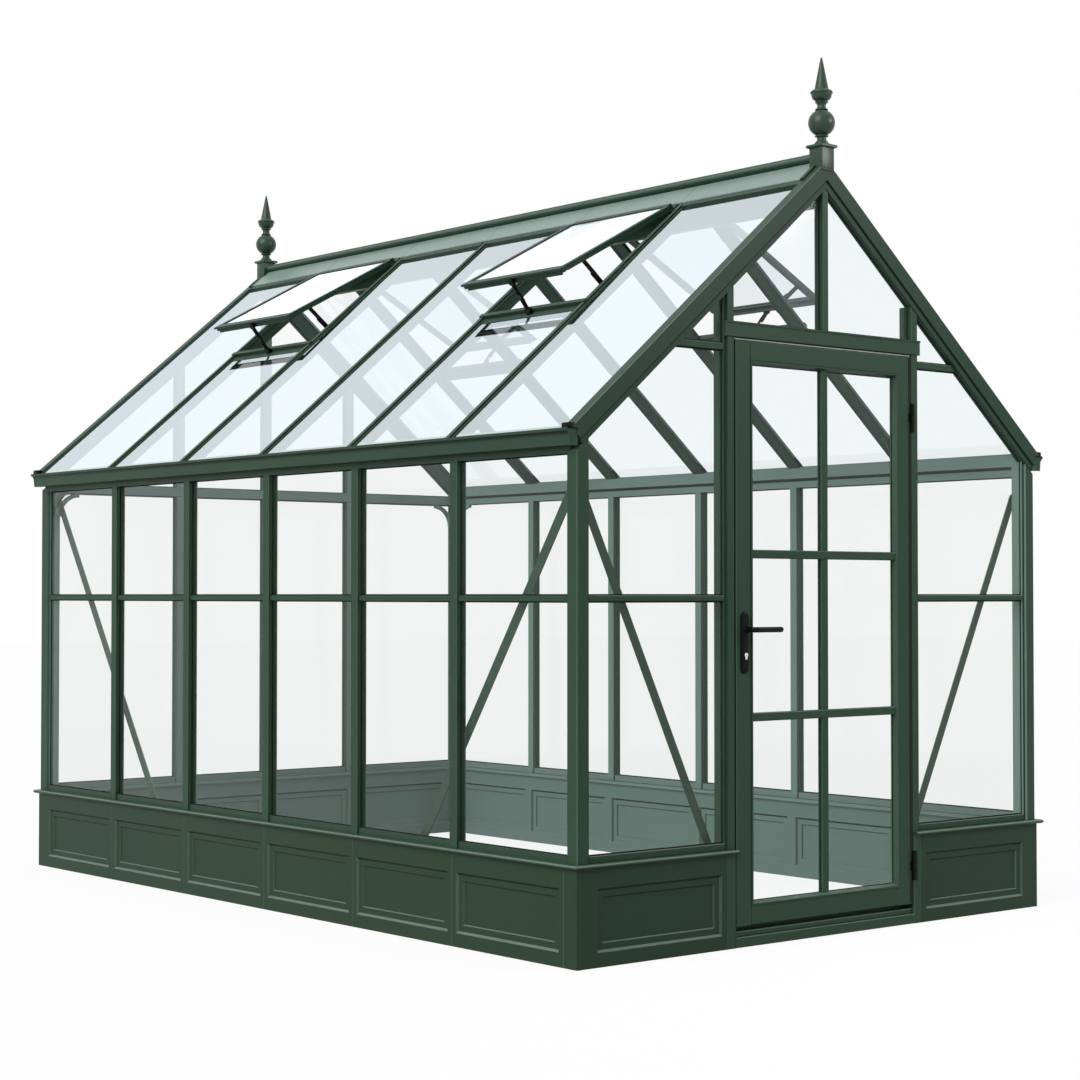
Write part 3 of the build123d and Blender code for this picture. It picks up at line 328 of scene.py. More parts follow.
def looking_in(finish, place):
    """1 on the faces of the walls and gables that look into the room."""
    facing = parts(finish, normal_of(finish))
    where = parts(finish, place)
    walls = ramp(finish, 0 - facing[0] * where[0], 0.9, 1.1)
    gables = ramp(finish, 0 - facing[1] * where[1], 1.6, 1.8)
    return finish.node("ShaderNodeClamp", {"Value": walls + gables})


print("direction tests ready")

# %% Powder coat
# Painted light on bevels: the colour of the painted highlight on bevels that look up or aside, and
# of the painted shade on bevels that look down.
PAINTED_EDGE_HIGHLIGHT = (0.155, 0.215, 0.180, 1)
PAINTED_EDGE_SHADE = (0.004, 0.010, 0.006, 1)


# `edge` sets the strength of the painted highlight and shade on bevels, `inside` is the colour of
# the painted light on faces that look into the room, and `under`, when given, the colour of a
# painted light on faces that look down.
def powder_coat(name, dark, light, dust, inside, roughness, shine,
                tilt=0.0, edge=0.85, under=None):
    """A painted metal: its two tones, its dust, the painted highlight and shade on its bevels, the
    painted light on faces that look in or down, and how it shines.
    """
    finish = Finish(name)
    place = finish.node("ShaderNodeTexCoord", output="Object")
    up = parts(finish, normal_of(finish))[2]
    drift = noise(finish, place, 2.2) * 0.6 + noise(finish, place, 31.0) * 0.4
    tone = mix_colour(finish, drift, (*dark, 1), (*light, 1))
    facing_up = ramp(finish, up, 0.3, 1.0, 0.0, 0.35)
    settled = facing_up * (noise(finish, place, 12.0, 4.0) + 0.25)
    colour = mix_colour(finish, settled, tone, (*dust, 1))
    bevels = edge_on(finish, tilt) * (noise(finish, place, 18.0, 3.0) * 0.5 + 0.75)
    # Painted highlight: bevels that look up or aside take the light colour.
    painted_highlight_share = ramp(finish, up, -0.35, 0.6)
    colour = mix_colour(finish, bevels * painted_highlight_share * edge, colour, PAINTED_EDGE_HIGHLIGHT)
    # Painted shade: bevels that look down take the dark colour.
    painted_shade_share = ramp(finish, up, -0.25, -0.6)
    colour = mix_colour(finish, bevels * painted_shade_share * edge, colour, PAINTED_EDGE_SHADE)
    # Painted light: faces that look into the room are made paler, standing in for the light inside.
    painted_inner_light = looking_in(finish, place) * (noise(finish, place, 5.0, 3.0) * 0.3 + 0.85)
    colour = mix_colour(finish, painted_inner_light, colour, (*inside, 1))
    # Painted light: faces that look down, which lie in shade, are made pale.
    if under:
        painted_light_below = ramp(finish, up, -0.5, -0.7)
        colour = mix_colour(finish, painted_light_below, colour, (*under, 1))
    bumps = finish.node("ShaderNodeBump", {
        "Strength": 0.10, "Distance": 0.0006, "Height": noise(finish, place, 520.0, 1.0)})
    return finish.finish(finish.node("ShaderNodeBsdfPrincipled", {
        "Base Color": colour,
        "Roughness": settled * 0.35 + roughness + (drift - 0.5) * 0.12,
        "Specular IOR Level": shine,
        "Normal": bumps,
    }))


print("bevels:", PAINTED_EDGE_HIGHLIGHT[:3], "lit,", PAINTED_EDGE_SHADE[:3], "shaded")

# %% The five coats
# The `inside` colours are painted light on the faces that look into the room.
frame_paint = powder_coat(
    "green_powder_coat", dark=(0.0215, 0.0520, 0.0310), light=(0.0320, 0.0695, 0.0430),
    dust=(0.15, 0.20, 0.18), inside=(0.165, 0.250, 0.215), roughness=0.38, shine=0.12)
roof_paint = powder_coat(
    "green_roof_coat", dark=(0.0180, 0.0440, 0.0270), light=(0.0275, 0.0590, 0.0380),
    dust=(0.16, 0.21, 0.19), inside=(0.060, 0.092, 0.080), roughness=0.40, shine=0.11, tilt=PITCH)
turned_paint = powder_coat(
    "green_turned_coat", dark=(0.0195, 0.0440, 0.0265), light=(0.0295, 0.0590, 0.0375),
    dust=(0.13, 0.18, 0.16), inside=(0.024, 0.050, 0.031), roughness=0.30, shine=0.30, edge=0.0)
base_paint = powder_coat(
    "green_base_paint", dark=(0.0165, 0.0390, 0.0215), light=(0.0250, 0.0525, 0.0300),
    dust=(0.14, 0.18, 0.16), inside=(0.130, 0.206, 0.176), roughness=0.42, shine=0.11)
# The ridge's `under` colour is a painted light on the shaded undersides of its plates.
ridge_paint = powder_coat(
    "pale_ridge_coat", dark=(0.155, 0.245, 0.215), light=(0.190, 0.285, 0.255),
    dust=(0.40, 0.47, 0.44), inside=(0.16, 0.25, 0.22), roughness=0.30, shine=0.50,
    tilt=PITCH, under=(0.62, 0.70, 0.71))
print("paints:", frame_paint.name, roof_paint.name, turned_paint.name, base_paint.name,
      ridge_paint.name)

# %% [markdown]
# ## Black fittings, steel and rubber
#
# Hinges, handles and vent stays are black powder-coated castings, finer and smoother than the
# bars. The lock's cylinder is satin nickel, brushed round its face, and the panes sit in black
# rubber strips that hardly shine at all. The brush above the door has a short grey pile.

# %% Black metal, nickel, rubber and pile
def plain_metal(name, colour, metallic, roughness, grain, grain_scale, depth):
    """A fine cast or brushed surface: one colour, with its grain in the roughness and bump."""
    finish = Finish(name)
    place = finish.node("ShaderNodeTexCoord", output="Object")
    fine = noise(finish, place, grain_scale, 3.0)
    worn = noise(finish, place, 40.0)
    darker, lighter = [(*(c * times for c in colour), 1) for times in (0.8, 1.25)]
    bumps = finish.node("ShaderNodeBump", {
        "Strength": depth, "Distance": 0.0004, "Height": fine})
    return finish.finish(finish.node("ShaderNodeBsdfPrincipled", {
        "Base Color": mix_colour(finish, worn, darker, lighter),
        "Metallic": metallic,
        "Roughness": roughness + (fine - 0.5) * grain,
        "Specular IOR Level": 0.08,
        "Normal": bumps,
    }))


black_metal = plain_metal("black_fittings", (0.0045, 0.0045, 0.0052), metallic=0.0,
                          roughness=0.34, grain=0.20, grain_scale=900, depth=0.12)
nickel = plain_metal("satin_nickel", (0.66, 0.64, 0.60), metallic=1.0,
                     roughness=0.30, grain=0.25, grain_scale=700, depth=0.05)
rubber = plain_metal("black_rubber", (0.018, 0.020, 0.019), metallic=0.0,
                     roughness=0.62, grain=0.10, grain_scale=400, depth=0.10)
pile = plain_metal("grey_brush_pile", (0.62, 0.64, 0.63), metallic=0.0,
                   roughness=0.75, grain=0.10, grain_scale=1500, depth=0.40)
print("fittings:", black_metal.name, nickel.name, rubber.name, pile.name)

# %% [markdown]
# ## Glass
#
# Toughened glass four millimetres thick doesn't bend what is behind it enough to see. It does
# two things: it tints it very slightly, and it lays a mirror image of the white studio over it,
# stronger at a glancing angle. A see-through shader mixed with a mirror by the angle gives
# both, and lets the lamps through to the floor inside. A pane has two faces, and the veil is
# laid only where a ray enters, so that it counts once. On the underside of a sloping pane, which
# mirrors the room and not the sky, it is much weaker.
#
# The roof is seen at a low angle and has rain-washed dust on it, so its veil is stronger. Its
# mirror is tinted a little blue, a painted reflection of a blue sky. Its mirror leans a little
# towards the door gable, and so shows the open sky more than the bars beside the pane. The
# lifted vents lie flatter and are dustier still, and their mirror is tinted blue as well.

# %% Clear panes
def clear_glass(name, tint, veil, head_on, glancing, power, blur, under=1.0, lean=0.0):
    """Thin glass: what passes through it, the veil of light on it, and how that grows with the
    angle. Faces that look down have a share `under` of the veil. The mirror leans by `lean`."""
    finish = Finish(name)
    side, depth, up = parts(finish, normal_of(finish))
    leaned = finish.node("ShaderNodeCombineXYZ", {"X": side, "Y": depth - lean, "Z": up})
    mirror = finish.node("ShaderNodeVectorMath", {"Vector": leaned}, operation="NORMALIZE")
    through = finish.node("ShaderNodeBsdfTransparent", {"Color": (*tint, 1)})
    place = finish.node("ShaderNodeTexCoord", output="Object")
    washed = noise(finish, place, 3.0, 3.0)
    shine = finish.node("ShaderNodeBsdfPrincipled", {
        "Base Color": (*veil, 1), "Metallic": 1.0, "Roughness": washed * blur, "Normal": mirror})
    facing = finish.node("ShaderNodeLayerWeight", {"Blend": 0.5}, "Facing")
    share = (facing ** power) * glancing + head_on + (washed - 0.5) * (head_on * 0.5)
    entering = 1 - finish.node("ShaderNodeNewGeometry", output="Backfacing")
    upper = ramp(finish, up, -0.2, -0.1, under, 1.0)
    return finish.finish(finish.mixed(
        share * (entering * upper) * seen_white(finish), through, shine))


wall_glass = clear_glass(
    "clear_wall_glass", tint=(0.968, 0.974, 0.971), veil=(0.93, 0.95, 0.95),
    head_on=0.024, glancing=0.80, power=4.0, blur=0.16)
# The blue in the roof's veil colour is a painted reflection of a blue sky.
roof_glass = clear_glass(
    "clear_roof_glass", tint=(0.970, 0.985, 0.992), veil=(0.875, 0.957, 1.0),
    head_on=0.030, glancing=1.02, power=1.2, blur=0.10, under=0.2, lean=0.45)
# The vent's veil colour is a little blue too, a painted sky reflection.
vent_glass = clear_glass(
    "clear_vent_glass", tint=(0.970, 0.985, 0.992), veil=(0.94, 0.98, 1.0),
    head_on=0.030, glancing=1.32, power=1.2, blur=1.10, under=0.2)
print("glass:", wall_glass.name, roof_glass.name, vent_glass.name)

# %% [markdown]
# ## A finish for every bar and pane
#
# The nodes of the construction come with one plain material each, whose name holds its slot.
# The slot is enough to choose the paint, metal or glass of most of them. Only the roof needs
# more: its bars have the coat whose bevel test is tilted, and its panes their own veil.

# %% Give every node its finish
ROOF_BARS = ("verges", "right_rafters", "left_rafters", "ridge_rails", "ridge_roll",
             "vent_side", "vent_end", "vent_cills")
slot_finish = {"base": base_paint, "frame": frame_paint, "ridge": ridge_paint,
               "black_metal": black_metal, "steel": nickel, "glass": wall_glass}
node_finish = {name: roof_paint for name in nodes if name.startswith(ROOF_BARS)}
node_finish.update({name: roof_glass for name in nodes if name.endswith("roof_glass")})
node_finish["vent_glass"] = vent_glass


def slot_of(node):
    """The material slot that the record gives a node: its packed material's name has it."""
    names = [m.name for m in node.data.materials if m is not None]
    return next((slot for slot in slot_finish for name in names if slot in name), "frame")


for name, node in nodes.items():
    chosen = node_finish.get(name, slot_finish[slot_of(node)])
    for place in range(len(node.data.materials)):
        node.data.materials[place] = chosen
    if not node.data.materials:
        node.data.materials.append(chosen)
print({name: node.data.materials[0].name for name, node in nodes.items()})

# %% [markdown]
# ## Modelling by hand
#
# The small pieces are turned, cast or pressed, and they are modelled in the same ways: an outline
# is drawn and spun about an axis, or filled and given a thickness, or a ring is pushed along a
# way. Blender's operators act on whatever is selected, so `only` clears the selection first, and
# `pick` selects the faces that pass a test. The helpers take places in metres and outlines in
# millimetres, because small parts are easier to read that way.

# %% Select and name
MM = 0.001
RIGHT, BACK, UP = Vector((1, 0, 0)), Vector((0, 1, 0)), Vector((0, 0, 1))


def only(*pieces):
    """Selects these pieces and nothing else."""
    bpy.ops.object.select_all(action="DESELECT")
    for piece in pieces:
        piece.select_set(True)
        bpy.context.view_layer.objects.active = piece


def named(name):
    """The piece that an operator has just made, with its own name."""
    bpy.context.object.name = name
    bpy.context.object.data.name = name
    return bpy.context.object


def edit(piece):
    """Opens a piece in edit mode with all of it selected."""
    only(piece)
    bpy.ops.object.mode_set(mode="EDIT")
    bpy.ops.mesh.select_mode(type="VERT")
    bpy.ops.mesh.select_all(action="SELECT")


def pick(piece, wanted):
    """In edit mode, selects only the faces that pass a test."""
    bpy.ops.mesh.select_mode(type="FACE")
    bpy.ops.mesh.select_all(action="DESELECT")
    mesh = bmesh.from_edit_mesh(piece.data)
    for face in mesh.faces:
        face.select_set(wanted(face))
    mesh.select_flush_mode()
    bmesh.update_edit_mesh(piece.data)


def leave(angle=35):
    """Turns all faces outwards, leaves edit mode, and smooths what is meant to be round."""
    bpy.ops.mesh.select_all(action="SELECT")
    bpy.ops.mesh.normals_make_consistent(inside=False)
    bpy.ops.object.mode_set(mode="OBJECT")
    bpy.ops.object.shade_smooth_by_angle(angle=radians(angle))
    return bpy.context.object


print("selection helpers ready")

# %% Blocks, drawn lines, turned shapes and plates
def block(name, low, high, rounding, steps=2):
    """A box from corner to corner, in metres, with its edges rounded."""
    low, high = Vector(low), Vector(high)
    only()
    bpy.ops.mesh.primitive_cube_add(size=1, location=(low + high) / 2, scale=high - low)
    piece = named(name)
    bpy.ops.object.transform_apply(location=True, rotation=True, scale=True)
    edit(piece)
    bpy.ops.mesh.bevel(offset=rounding, segments=steps)
    return leave(50)


def draw(name, points):
    """A line from point to point: one vertex, extruded along its way."""
    only()
    bpy.ops.mesh.primitive_plane_add(size=1)
    piece = named(name)
    edit(piece)
    bpy.ops.mesh.merge(type="CENTER")
    bpy.ops.transform.translate(value=Vector(points[0]))
    for here, there in zip(points, points[1:]):
        step = Vector(there) - Vector(here)
        bpy.ops.mesh.extrude_vertices_move(TRANSFORM_OT_translate={"value": step})
    bpy.ops.mesh.select_all(action="SELECT")
    return piece


def push(step):
    """Extrudes the selected face by a distance."""
    bpy.ops.mesh.extrude_region_move(TRANSFORM_OT_translate={"value": step})


def turn(name, outline, centre, axis=UP, steps=32, side=None, angle=35):
    """A turned piece: an outline of (radius, height) in mm, spun about an axis."""
    centre, axis = Vector(centre), Vector(axis).normalized()
    side = Vector(side).normalized() if side else axis.orthogonal().normalized()
    draw(name, [centre + (side * radius + axis * height) * MM for radius, height in outline])
    bpy.ops.mesh.spin(steps=steps, angle=2 * pi, center=centre, axis=axis)
    bpy.ops.mesh.select_all(action="SELECT")
    bpy.ops.mesh.remove_doubles(threshold=2e-6)
    return leave(angle)


def plate(name, outline, origin, across, up, thickness, crown=()):
    """A plate: an outline in mm, filled, given a thickness, and crowned by insets that rise."""
    origin, across, up = Vector(origin), Vector(across), Vector(up)
    outwards = across.cross(up).normalized()
    piece = draw(name, [origin + (across * x + up * y) * MM for x, y in outline])
    bpy.ops.mesh.remove_doubles(threshold=1e-6)
    bpy.ops.mesh.edge_face_add()
    push(outwards * thickness * MM)
    bpy.ops.mesh.select_all(action="SELECT")
    bpy.ops.mesh.normals_make_consistent(inside=False)
    pick(piece, lambda face: face.normal.dot(outwards) > 0.99)
    for inset, rise in crown:
        bpy.ops.mesh.inset(thickness=inset * MM, depth=rise * MM)
    return leave()


print("shape helpers ready")

# %% Outlines
def round_corners(width, height, radius, steps=5):
    """The outline of a rectangle with round corners, about its middle, in mm."""
    points = []
    for corner, (across, up) in enumerate(((1, 1), (-1, 1), (-1, -1), (1, -1))):
        for step in range(steps + 1):
            angle = radians(90) * (corner + step / steps)
            points.append((across * (width / 2 - radius) + radius * cos(angle),
                           up * (height / 2 - radius) + radius * sin(angle)))
    return points


def arc(centre, radius, start, end, steps):
    """Points of an arc, in mm, from one angle to another in degrees."""
    angles = [radians(start + (end - start) * step / steps) for step in range(steps + 1)]
    return [(centre[0] + radius * cos(a), centre[1] + radius * sin(a)) for a in angles]


def even_ends(*upper):
    """An outline whose two ends are alike: its points from the middle up, and their images."""
    return [(r, -h) for r, h in reversed(upper)] + list(upper)


print("outline helpers ready")

# %% Copies, joints and mirror images
LEFT_RIGHT, FRONT_BACK = (-1, 1, 1), (1, -1, 1)


def copied(piece, name, by=(0, 0, 0)):
    """A copy with its own mesh, moved by a distance."""
    only(piece)
    bpy.ops.object.duplicate(linked=False)
    twin = named(name)
    bpy.ops.transform.translate(value=Vector(by))
    bpy.ops.object.transform_apply(location=True, rotation=True, scale=True)
    return twin


def joined(name, *pieces):
    """Several pieces as one."""
    only(*pieces)
    if len(pieces) > 1:
        bpy.ops.object.join()
    return named(name)


def both_sides(name, across, *pieces, centre=(0, 0, 0)):
    """Pieces and their mirror images through a centre, as one piece."""
    one = joined("one_side", *pieces)
    other = copied(one, "other_side")
    edit(other)
    bpy.ops.transform.resize(value=across, center_override=centre)
    bpy.ops.mesh.normals_make_consistent(inside=False)
    bpy.ops.object.mode_set(mode="OBJECT")
    return joined(name, one, other)


print("joining helpers ready")

# %% The last step of a piece
def settle(piece, finish, body, slot, *stand_ins):
    """Gives a finished piece its material, the body it moves with, and the nodes it stands for."""
    piece.data.materials.clear()
    piece.data.materials.append(finish)
    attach(piece, body)
    if stand_ins:
        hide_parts(*stand_ins)
    triangles = sum(len(face.vertices) - 2 for face in piece.data.polygons)
    print(piece.name, "on", body, "-", triangles, "triangles")


print("finishing helpers ready")

# %% Screws
SCREW_HEAD = [(0, 0.3), (0.42, 0.3), (0.46, 0.62), (0.62, 0.66), (0.86, 0.5), (1, 0.1),
              (1, -0.4), (0, -0.4)]


def screw(place, axis, radius):
    """The round head of a small screw, with its socket. The outline is for a radius of one."""
    return turn("screw", [(radius * r, radius * h) for r, h in SCREW_HEAD], place, axis, steps=12)


print("a screw's outline has", len(SCREW_HEAD), "points")

# %% [markdown]
# ## Finials
#
# Each end of the ridge carries a turned spike on a square block: a moulded foot, a ball between
# two rings, a cup, and a long cone. A turned shape is one outline spun about its axis, so the
# outline is the whole design. It starts on the block's cap and goes up: straight runs where the
# profile is straight, and arcs where it swells. The cap's moulding is spun too, in only four
# steps, which gives a square.

# %% Draw the outlines
# In mm: half the block's and the cap's width, and the ball's radius and height.
BODY, CAP, BALL, BALL_HEIGHT = 33.0, 42.0, 50.5, 82.4

moulding = [(0, -1), (BODY + 0.3, -1), (BODY + 1.2, 0.5), (BODY + 4, 1.8), (CAP - 2, 2.8),
            (CAP - 0.6, 3.6), (CAP, 4.8), (CAP, 10), (CAP - 0.6, 11.6), (CAP - 2.2, 13.2),
            (CAP - 5, 14.4), (CAP - 8, 15), (0, 15)]

foot = [(0, -1), (29, -1), (29, 4.4), (28.4, 5), (26.4, 5), (26, 5.6), (26, 7)]
cavetto = arc((26, 20), 8.5, 250, 182, 5) + [(17.5, 24), (18.2, 27.5), (20.5, 29.4)]
rings = arc((23.4, 32), 2.6, -65, 65, 5) + [(21.6, 34.8), (20.2, 35.6)]
ball = [(BALL * sin(radians(a)), BALL_HEIGHT - BALL * cos(radians(a))) for a in range(24, 158, 6)]
ring_below, ring_above = [arc((22.6, height), 2.5, -80, 80, 5) for height in (132.2, 160.2)]
neck = [(20.4, 135.2), (18.4, 137.7), (16.8, 141), (16.3, 145), (16.6, 150), (18.2, 154),
        (20.4, 157)]
cup = [(20.8, 163.2), (21.2, 164.7), (24, 165.6), (27, 168), (30.4, 170.4), (33.2, 173),
       (35.4, 176.6), (37, 181), (38, 185), (38.5, 188.7), (38.8, 191)]
rim = arc((38.6, 196.4), 4.2, -62, 62, 7) + [(38.6, 203.2), (35.4, 205.2), (30.6, 206.8),
                                             (27.4, 208)]
spike = [(26.4, 210), (4.0, 324.7), (3.7, 326.4), (2.8, 327.8), (1.5, 328.5), (0, 328.7)]
stem_outline = foot + cavetto + rings + ball + ring_below + neck + ring_above + cup + rim + spike
print("the stem's outline has", len(stem_outline), "points")

# %% Turn the finials
CAP_FOOT, CAP_TOP = 2.932, 2.947
finial_low, finial_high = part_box("finials")


def finial(name, y):
    """One finial: the block on the ridge, its moulded cap and the turned spike."""
    half = BODY * MM
    middle = Vector((0, y, 0))
    body_block = block(name, (-half, y - half, finial_low.z),
                       (half, y + half, CAP_FOOT + 0.002), 0.002, 3)
    cap = turn("cap", [(r * sqrt(2), h) for r, h in moulding], middle + UP * CAP_FOOT,
               steps=4, side=(1, 1, 0), angle=25)
    stem = turn("stem", stem_outline, middle + UP * CAP_TOP, steps=48, angle=30)
    outwards = -BACK if y < 0 else BACK
    screws = [screw(middle + RIGHT * x * MM + outwards * half + UP * (finial_low.z + 0.011),
                    outwards, 3.2) for x in (-20, 0, 20)]
    return joined(name, body_block, cap, stem, *screws)


ridge_end = finial_high.y - BALL * MM
finial_pair = joined("turned_finials", finial("finial_front", -ridge_end),
                     finial("finial_rear", ridge_end))
settle(finial_pair, turned_paint, "frame", "frame", "finials")

# %% [markdown]
# ## Door handle
#
# The lever is a straight round bar with a rounded end, bent at a right angle where it meets its
# neck. A bar is a ring pushed along a way: extruded where it is straight, and spun about a point
# beside it where it bends. The neck's collar is turned. Inside and outside levers are mirror
# images, and the square spindle that joins them runs through the lock.

# %% Round bars
def round_bar(name, centre, axis, radius, steps=24):
    """A filled ring in edit mode, the start of a bar that is pushed along a way."""
    only()
    bpy.ops.mesh.primitive_circle_add(
        vertices=steps, radius=radius * MM, location=centre, fill_type="NGON",
        rotation=Vector(axis).to_track_quat("Z", "Y").to_euler())
    piece = named(name)
    bpy.ops.object.transform_apply(location=True, rotation=True, scale=True)
    edit(piece)


def round_end(direction, radius, rounding, tip, steps=4):
    """Rounds the end of a bar: short extrusions, each narrower than the last."""
    spans = [radians(90) * step / steps for step in range(steps + 1)]
    reach = [radius - rounding + rounding * cos(span) for span in spans]
    for number in range(1, steps + 1):
        step = rounding * (sin(spans[number]) - sin(spans[number - 1])) * MM
        push(direction * step)
        tip = tip + direction * step
        shrink = reach[number] / reach[number - 1]
        bpy.ops.transform.resize(value=(shrink, shrink, shrink), center_override=tip)


print("bar helpers ready")

# %% The levers
LEVER_RADIUS, LEVER_ROUNDING = 10.0, 8.0
LEVER_OUT, LEVER_LONG = 0.076, 0.140
NECK_START, BEND = 0.046, 0.015
COLLAR = [(0, -2), (13.2, -2), (13.2, 2.6), (12.8, 3.8), (11.8, 4.6), (11.4, 6), (11.4, 14),
          (10.9, 15.6), (9.6, 16.6), (0, 16.6)]
spindle = joint_places["handle_turn"]
plates_low, plates_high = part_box("lock_plates")

round_bar("lever", spindle - BACK * NECK_START, -BACK, LEVER_RADIUS)
push(-BACK * (LEVER_OUT - NECK_START - BEND))
bpy.ops.mesh.spin(steps=8, angle=-radians(90), axis=UP,
                  center=spindle + RIGHT * BEND - BACK * (LEVER_OUT - BEND))
straight_end = LEVER_LONG - LEVER_ROUNDING * MM
push(RIGHT * (straight_end - BEND))
round_end(RIGHT, LEVER_RADIUS, LEVER_ROUNDING, spindle + RIGHT * straight_end - BACK * LEVER_OUT)
lever = leave()
collar = turn("collar", COLLAR, (spindle.x, plates_low.y, spindle.z), -BACK)
levers = both_sides("levers", FRONT_BACK, lever, collar, centre=spindle)
half_square = Vector((4, 32, 4)) * MM
square = block("square_spindle", spindle - half_square, spindle + half_square, 0.0008)
settle(joined("door_levers", levers, square), black_metal, "handle", "black_metal",
       "door_handle")

# %% [markdown]
# ## Lock plates and cylinder
#
# A long plate with round ends covers the lock on both sides. It is pressed, so its face rises
# from the rim in a soft curve: the flat face is inset a few times, and each inset rises a
# little. A ring stands round the lever's collar, two screws hold the plate, and the lock's
# cylinder shows below in satin nickel, with its slot for the key cut by a boolean.

# %% Plates, rings and screws
COVER_THICK, COVER_BACK, COVER_SCREW = 6.5, 0.010, 0.097
COVER_CROWN = ((0.8, 1.4), (1.6, 1.0), (2.6, 0.7), (3.0, 0.4))
RING = [(13.9, -2), (16.4, -2), (16.4, 0.6), (16.0, 1.4), (15.2, 1.8), (14.4, 1.6), (13.9, 0.9),
        (13.9, -2)]
plate_middle = (plates_low + plates_high) / 2
plate_wide = (plates_high.x - plates_low.x) / MM
plate_tall = (plates_high.z - plates_low.z) / MM
face_y = plates_low.y

cover = plate("lock_cover", round_corners(plate_wide, plate_tall, plate_wide / 2, 10),
              (plate_middle.x, face_y + COVER_BACK, plate_middle.z), RIGHT, UP, COVER_THICK,
              COVER_CROWN)
ring = turn("ring", RING, (spindle.x, face_y, spindle.z), -BACK)
cover_screws = [screw((plate_middle.x, face_y, plate_middle.z + z), -BACK, 3.6)
                for z in (-COVER_SCREW, COVER_SCREW)]
covers = both_sides("lock_covers", FRONT_BACK, cover, ring, *cover_screws, centre=spindle)
settle(covers, black_metal, "door", "black_metal", "lock_plates")

# %% The cylinder and its key slot
BARREL, TAIL, TAIL_DROP = 8.5, 5, 12
PLUG = [(0, -4), (6.2, -4), (6.2, 0.2), (5.9, 0.6), (5.4, 0.7), (0, 0.7)]
KEY_SLOT = Vector((0.9, 3, 3.6))
cylinder_low, cylinder_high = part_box("lock_cylinder")
door_middle = spindle.y
key = Vector((spindle.x, cylinder_low.y, cylinder_high.z - BARREL * MM))

barrel_outline = (arc((0, 0), BARREL, -53.97, 233.97, 28) + [(-TAIL, -TAIL_DROP)]
                  + arc((0, -TAIL_DROP), TAIL, 190, 350, 8) + [(TAIL, -TAIL_DROP)])
barrel = plate("barrel", barrel_outline, (key.x, door_middle, key.z), RIGHT, UP,
               (door_middle - cylinder_low.y) / MM - 0.6, ((0.5, 0.6),))
plug_face = turn("plug", PLUG, key, -BACK)
slot_cutter = block("slot", key - KEY_SLOT * MM, key + KEY_SLOT * MM, 0.0003)
only(plug_face)
cut = plug_face.modifiers.new("key_slot", "BOOLEAN")
cut.operation = "DIFFERENCE"
cut.solver = "EXACT"
cut.object = slot_cutter
bpy.ops.object.modifier_apply(modifier="key_slot")
bpy.data.objects.remove(slot_cutter)
cylinder = both_sides("key_cylinder", FRONT_BACK, barrel, plug_face,
                      centre=(key.x, door_middle, key.z))
settle(cylinder, nickel, "door", "steel", "lock_cylinder")

# %% [markdown]
# ## Hinges
#
# Two black hinges carry the door. The frame's half has an upper and a lower knuckle, the leaf's
# half has the one between them, and a pin runs through all three. Each knuckle is turned with
# softened ends, and a thin flag, fixed with countersunk screws, joins it to the post or the
# leaf. The two halves are separate pieces, because one stays and the other swings.

# %% Knuckles, flags and pins
HINGE_TALL = 0.110
HINGE_THIRD = HINGE_TALL / 3
OUTER_KNUCKLE, LEAF_KNUCKLE = HINGE_THIRD - 0.0008, HINGE_THIRD - 0.0018
PIN = HINGE_TALL / 2 / MM
PIN_OUTLINE = even_ends((3.4, PIN - 0.8), (2.6, PIN), (0, PIN))
hinge_low, hinge_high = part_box("frame_hinges")
HINGE_HEIGHTS = (hinge_low.z + HINGE_TALL / 2, hinge_high.z - HINGE_TALL / 2)
hinge_x, hinge_y = joint_places["door_hinge"].xy
flag_back = hinge_high.y


def knuckle(middle, height):
    """One knuckle: a hollow barrel about the door's axis, with softened ends."""
    half = height / 2 / MM
    outline = even_ends((8, half - 0.9), (7.2, half), (3.8, half)) + [(3.8, -half)]
    return turn("knuckle", outline, (hinge_x, hinge_y, middle), steps=28)


def flag(low_x, high_x, middle, height, round_by):
    """The flat part of a hinge, from one x to another, with its corners and face softened."""
    return plate("flag", round_corners((high_x - low_x) / MM, height / MM, round_by, 4),
                 ((low_x + high_x) / 2, flag_back, middle), RIGHT, UP, 2.2, ((0.8, 0.8),))


def flag_screws(x, middle, apart, radius):
    """Two screws in a flag, one above and one below its middle."""
    return [screw((x, flag_back - 0.003, middle + side * apart), -BACK, radius)
            for side in (-1, 1)]


print("hinges at", HINGE_HEIGHTS)

# %% Both hinges
frame_parts, leaf_parts = [], []
for height in HINGE_HEIGHTS:
    ends = [height + side * HINGE_THIRD for side in (-1, 1)]
    frame_parts += [knuckle(end, OUTER_KNUCKLE) for end in ends]
    frame_parts.append(flag(hinge_x + 0.009, hinge_high.x, height, HINGE_TALL, 2.5))
    frame_parts += [flag(hinge_x + 0.002, hinge_x + 0.012, end, OUTER_KNUCKLE, 1.0)
                    for end in ends]
    frame_parts += flag_screws(hinge_high.x - 0.006, height, 0.040, 3.0)
    frame_parts.append(turn("pin", PIN_OUTLINE, (hinge_x, hinge_y, height), steps=20))
    leaf_parts.append(knuckle(height, LEAF_KNUCKLE))
    leaf_parts.append(flag(hinge_x - 0.016, hinge_x - 0.002, height, LEAF_KNUCKLE, 2.0))
    leaf_parts += flag_screws(hinge_x - 0.012, height, 0.010, 2.6)
settle(joined("hinge_frame_halves", *frame_parts), black_metal, "frame", "black_metal",
       "frame_hinges")
settle(joined("hinge_leaf_halves", *leaf_parts), black_metal, "door", "black_metal",
       "leaf_hinges")

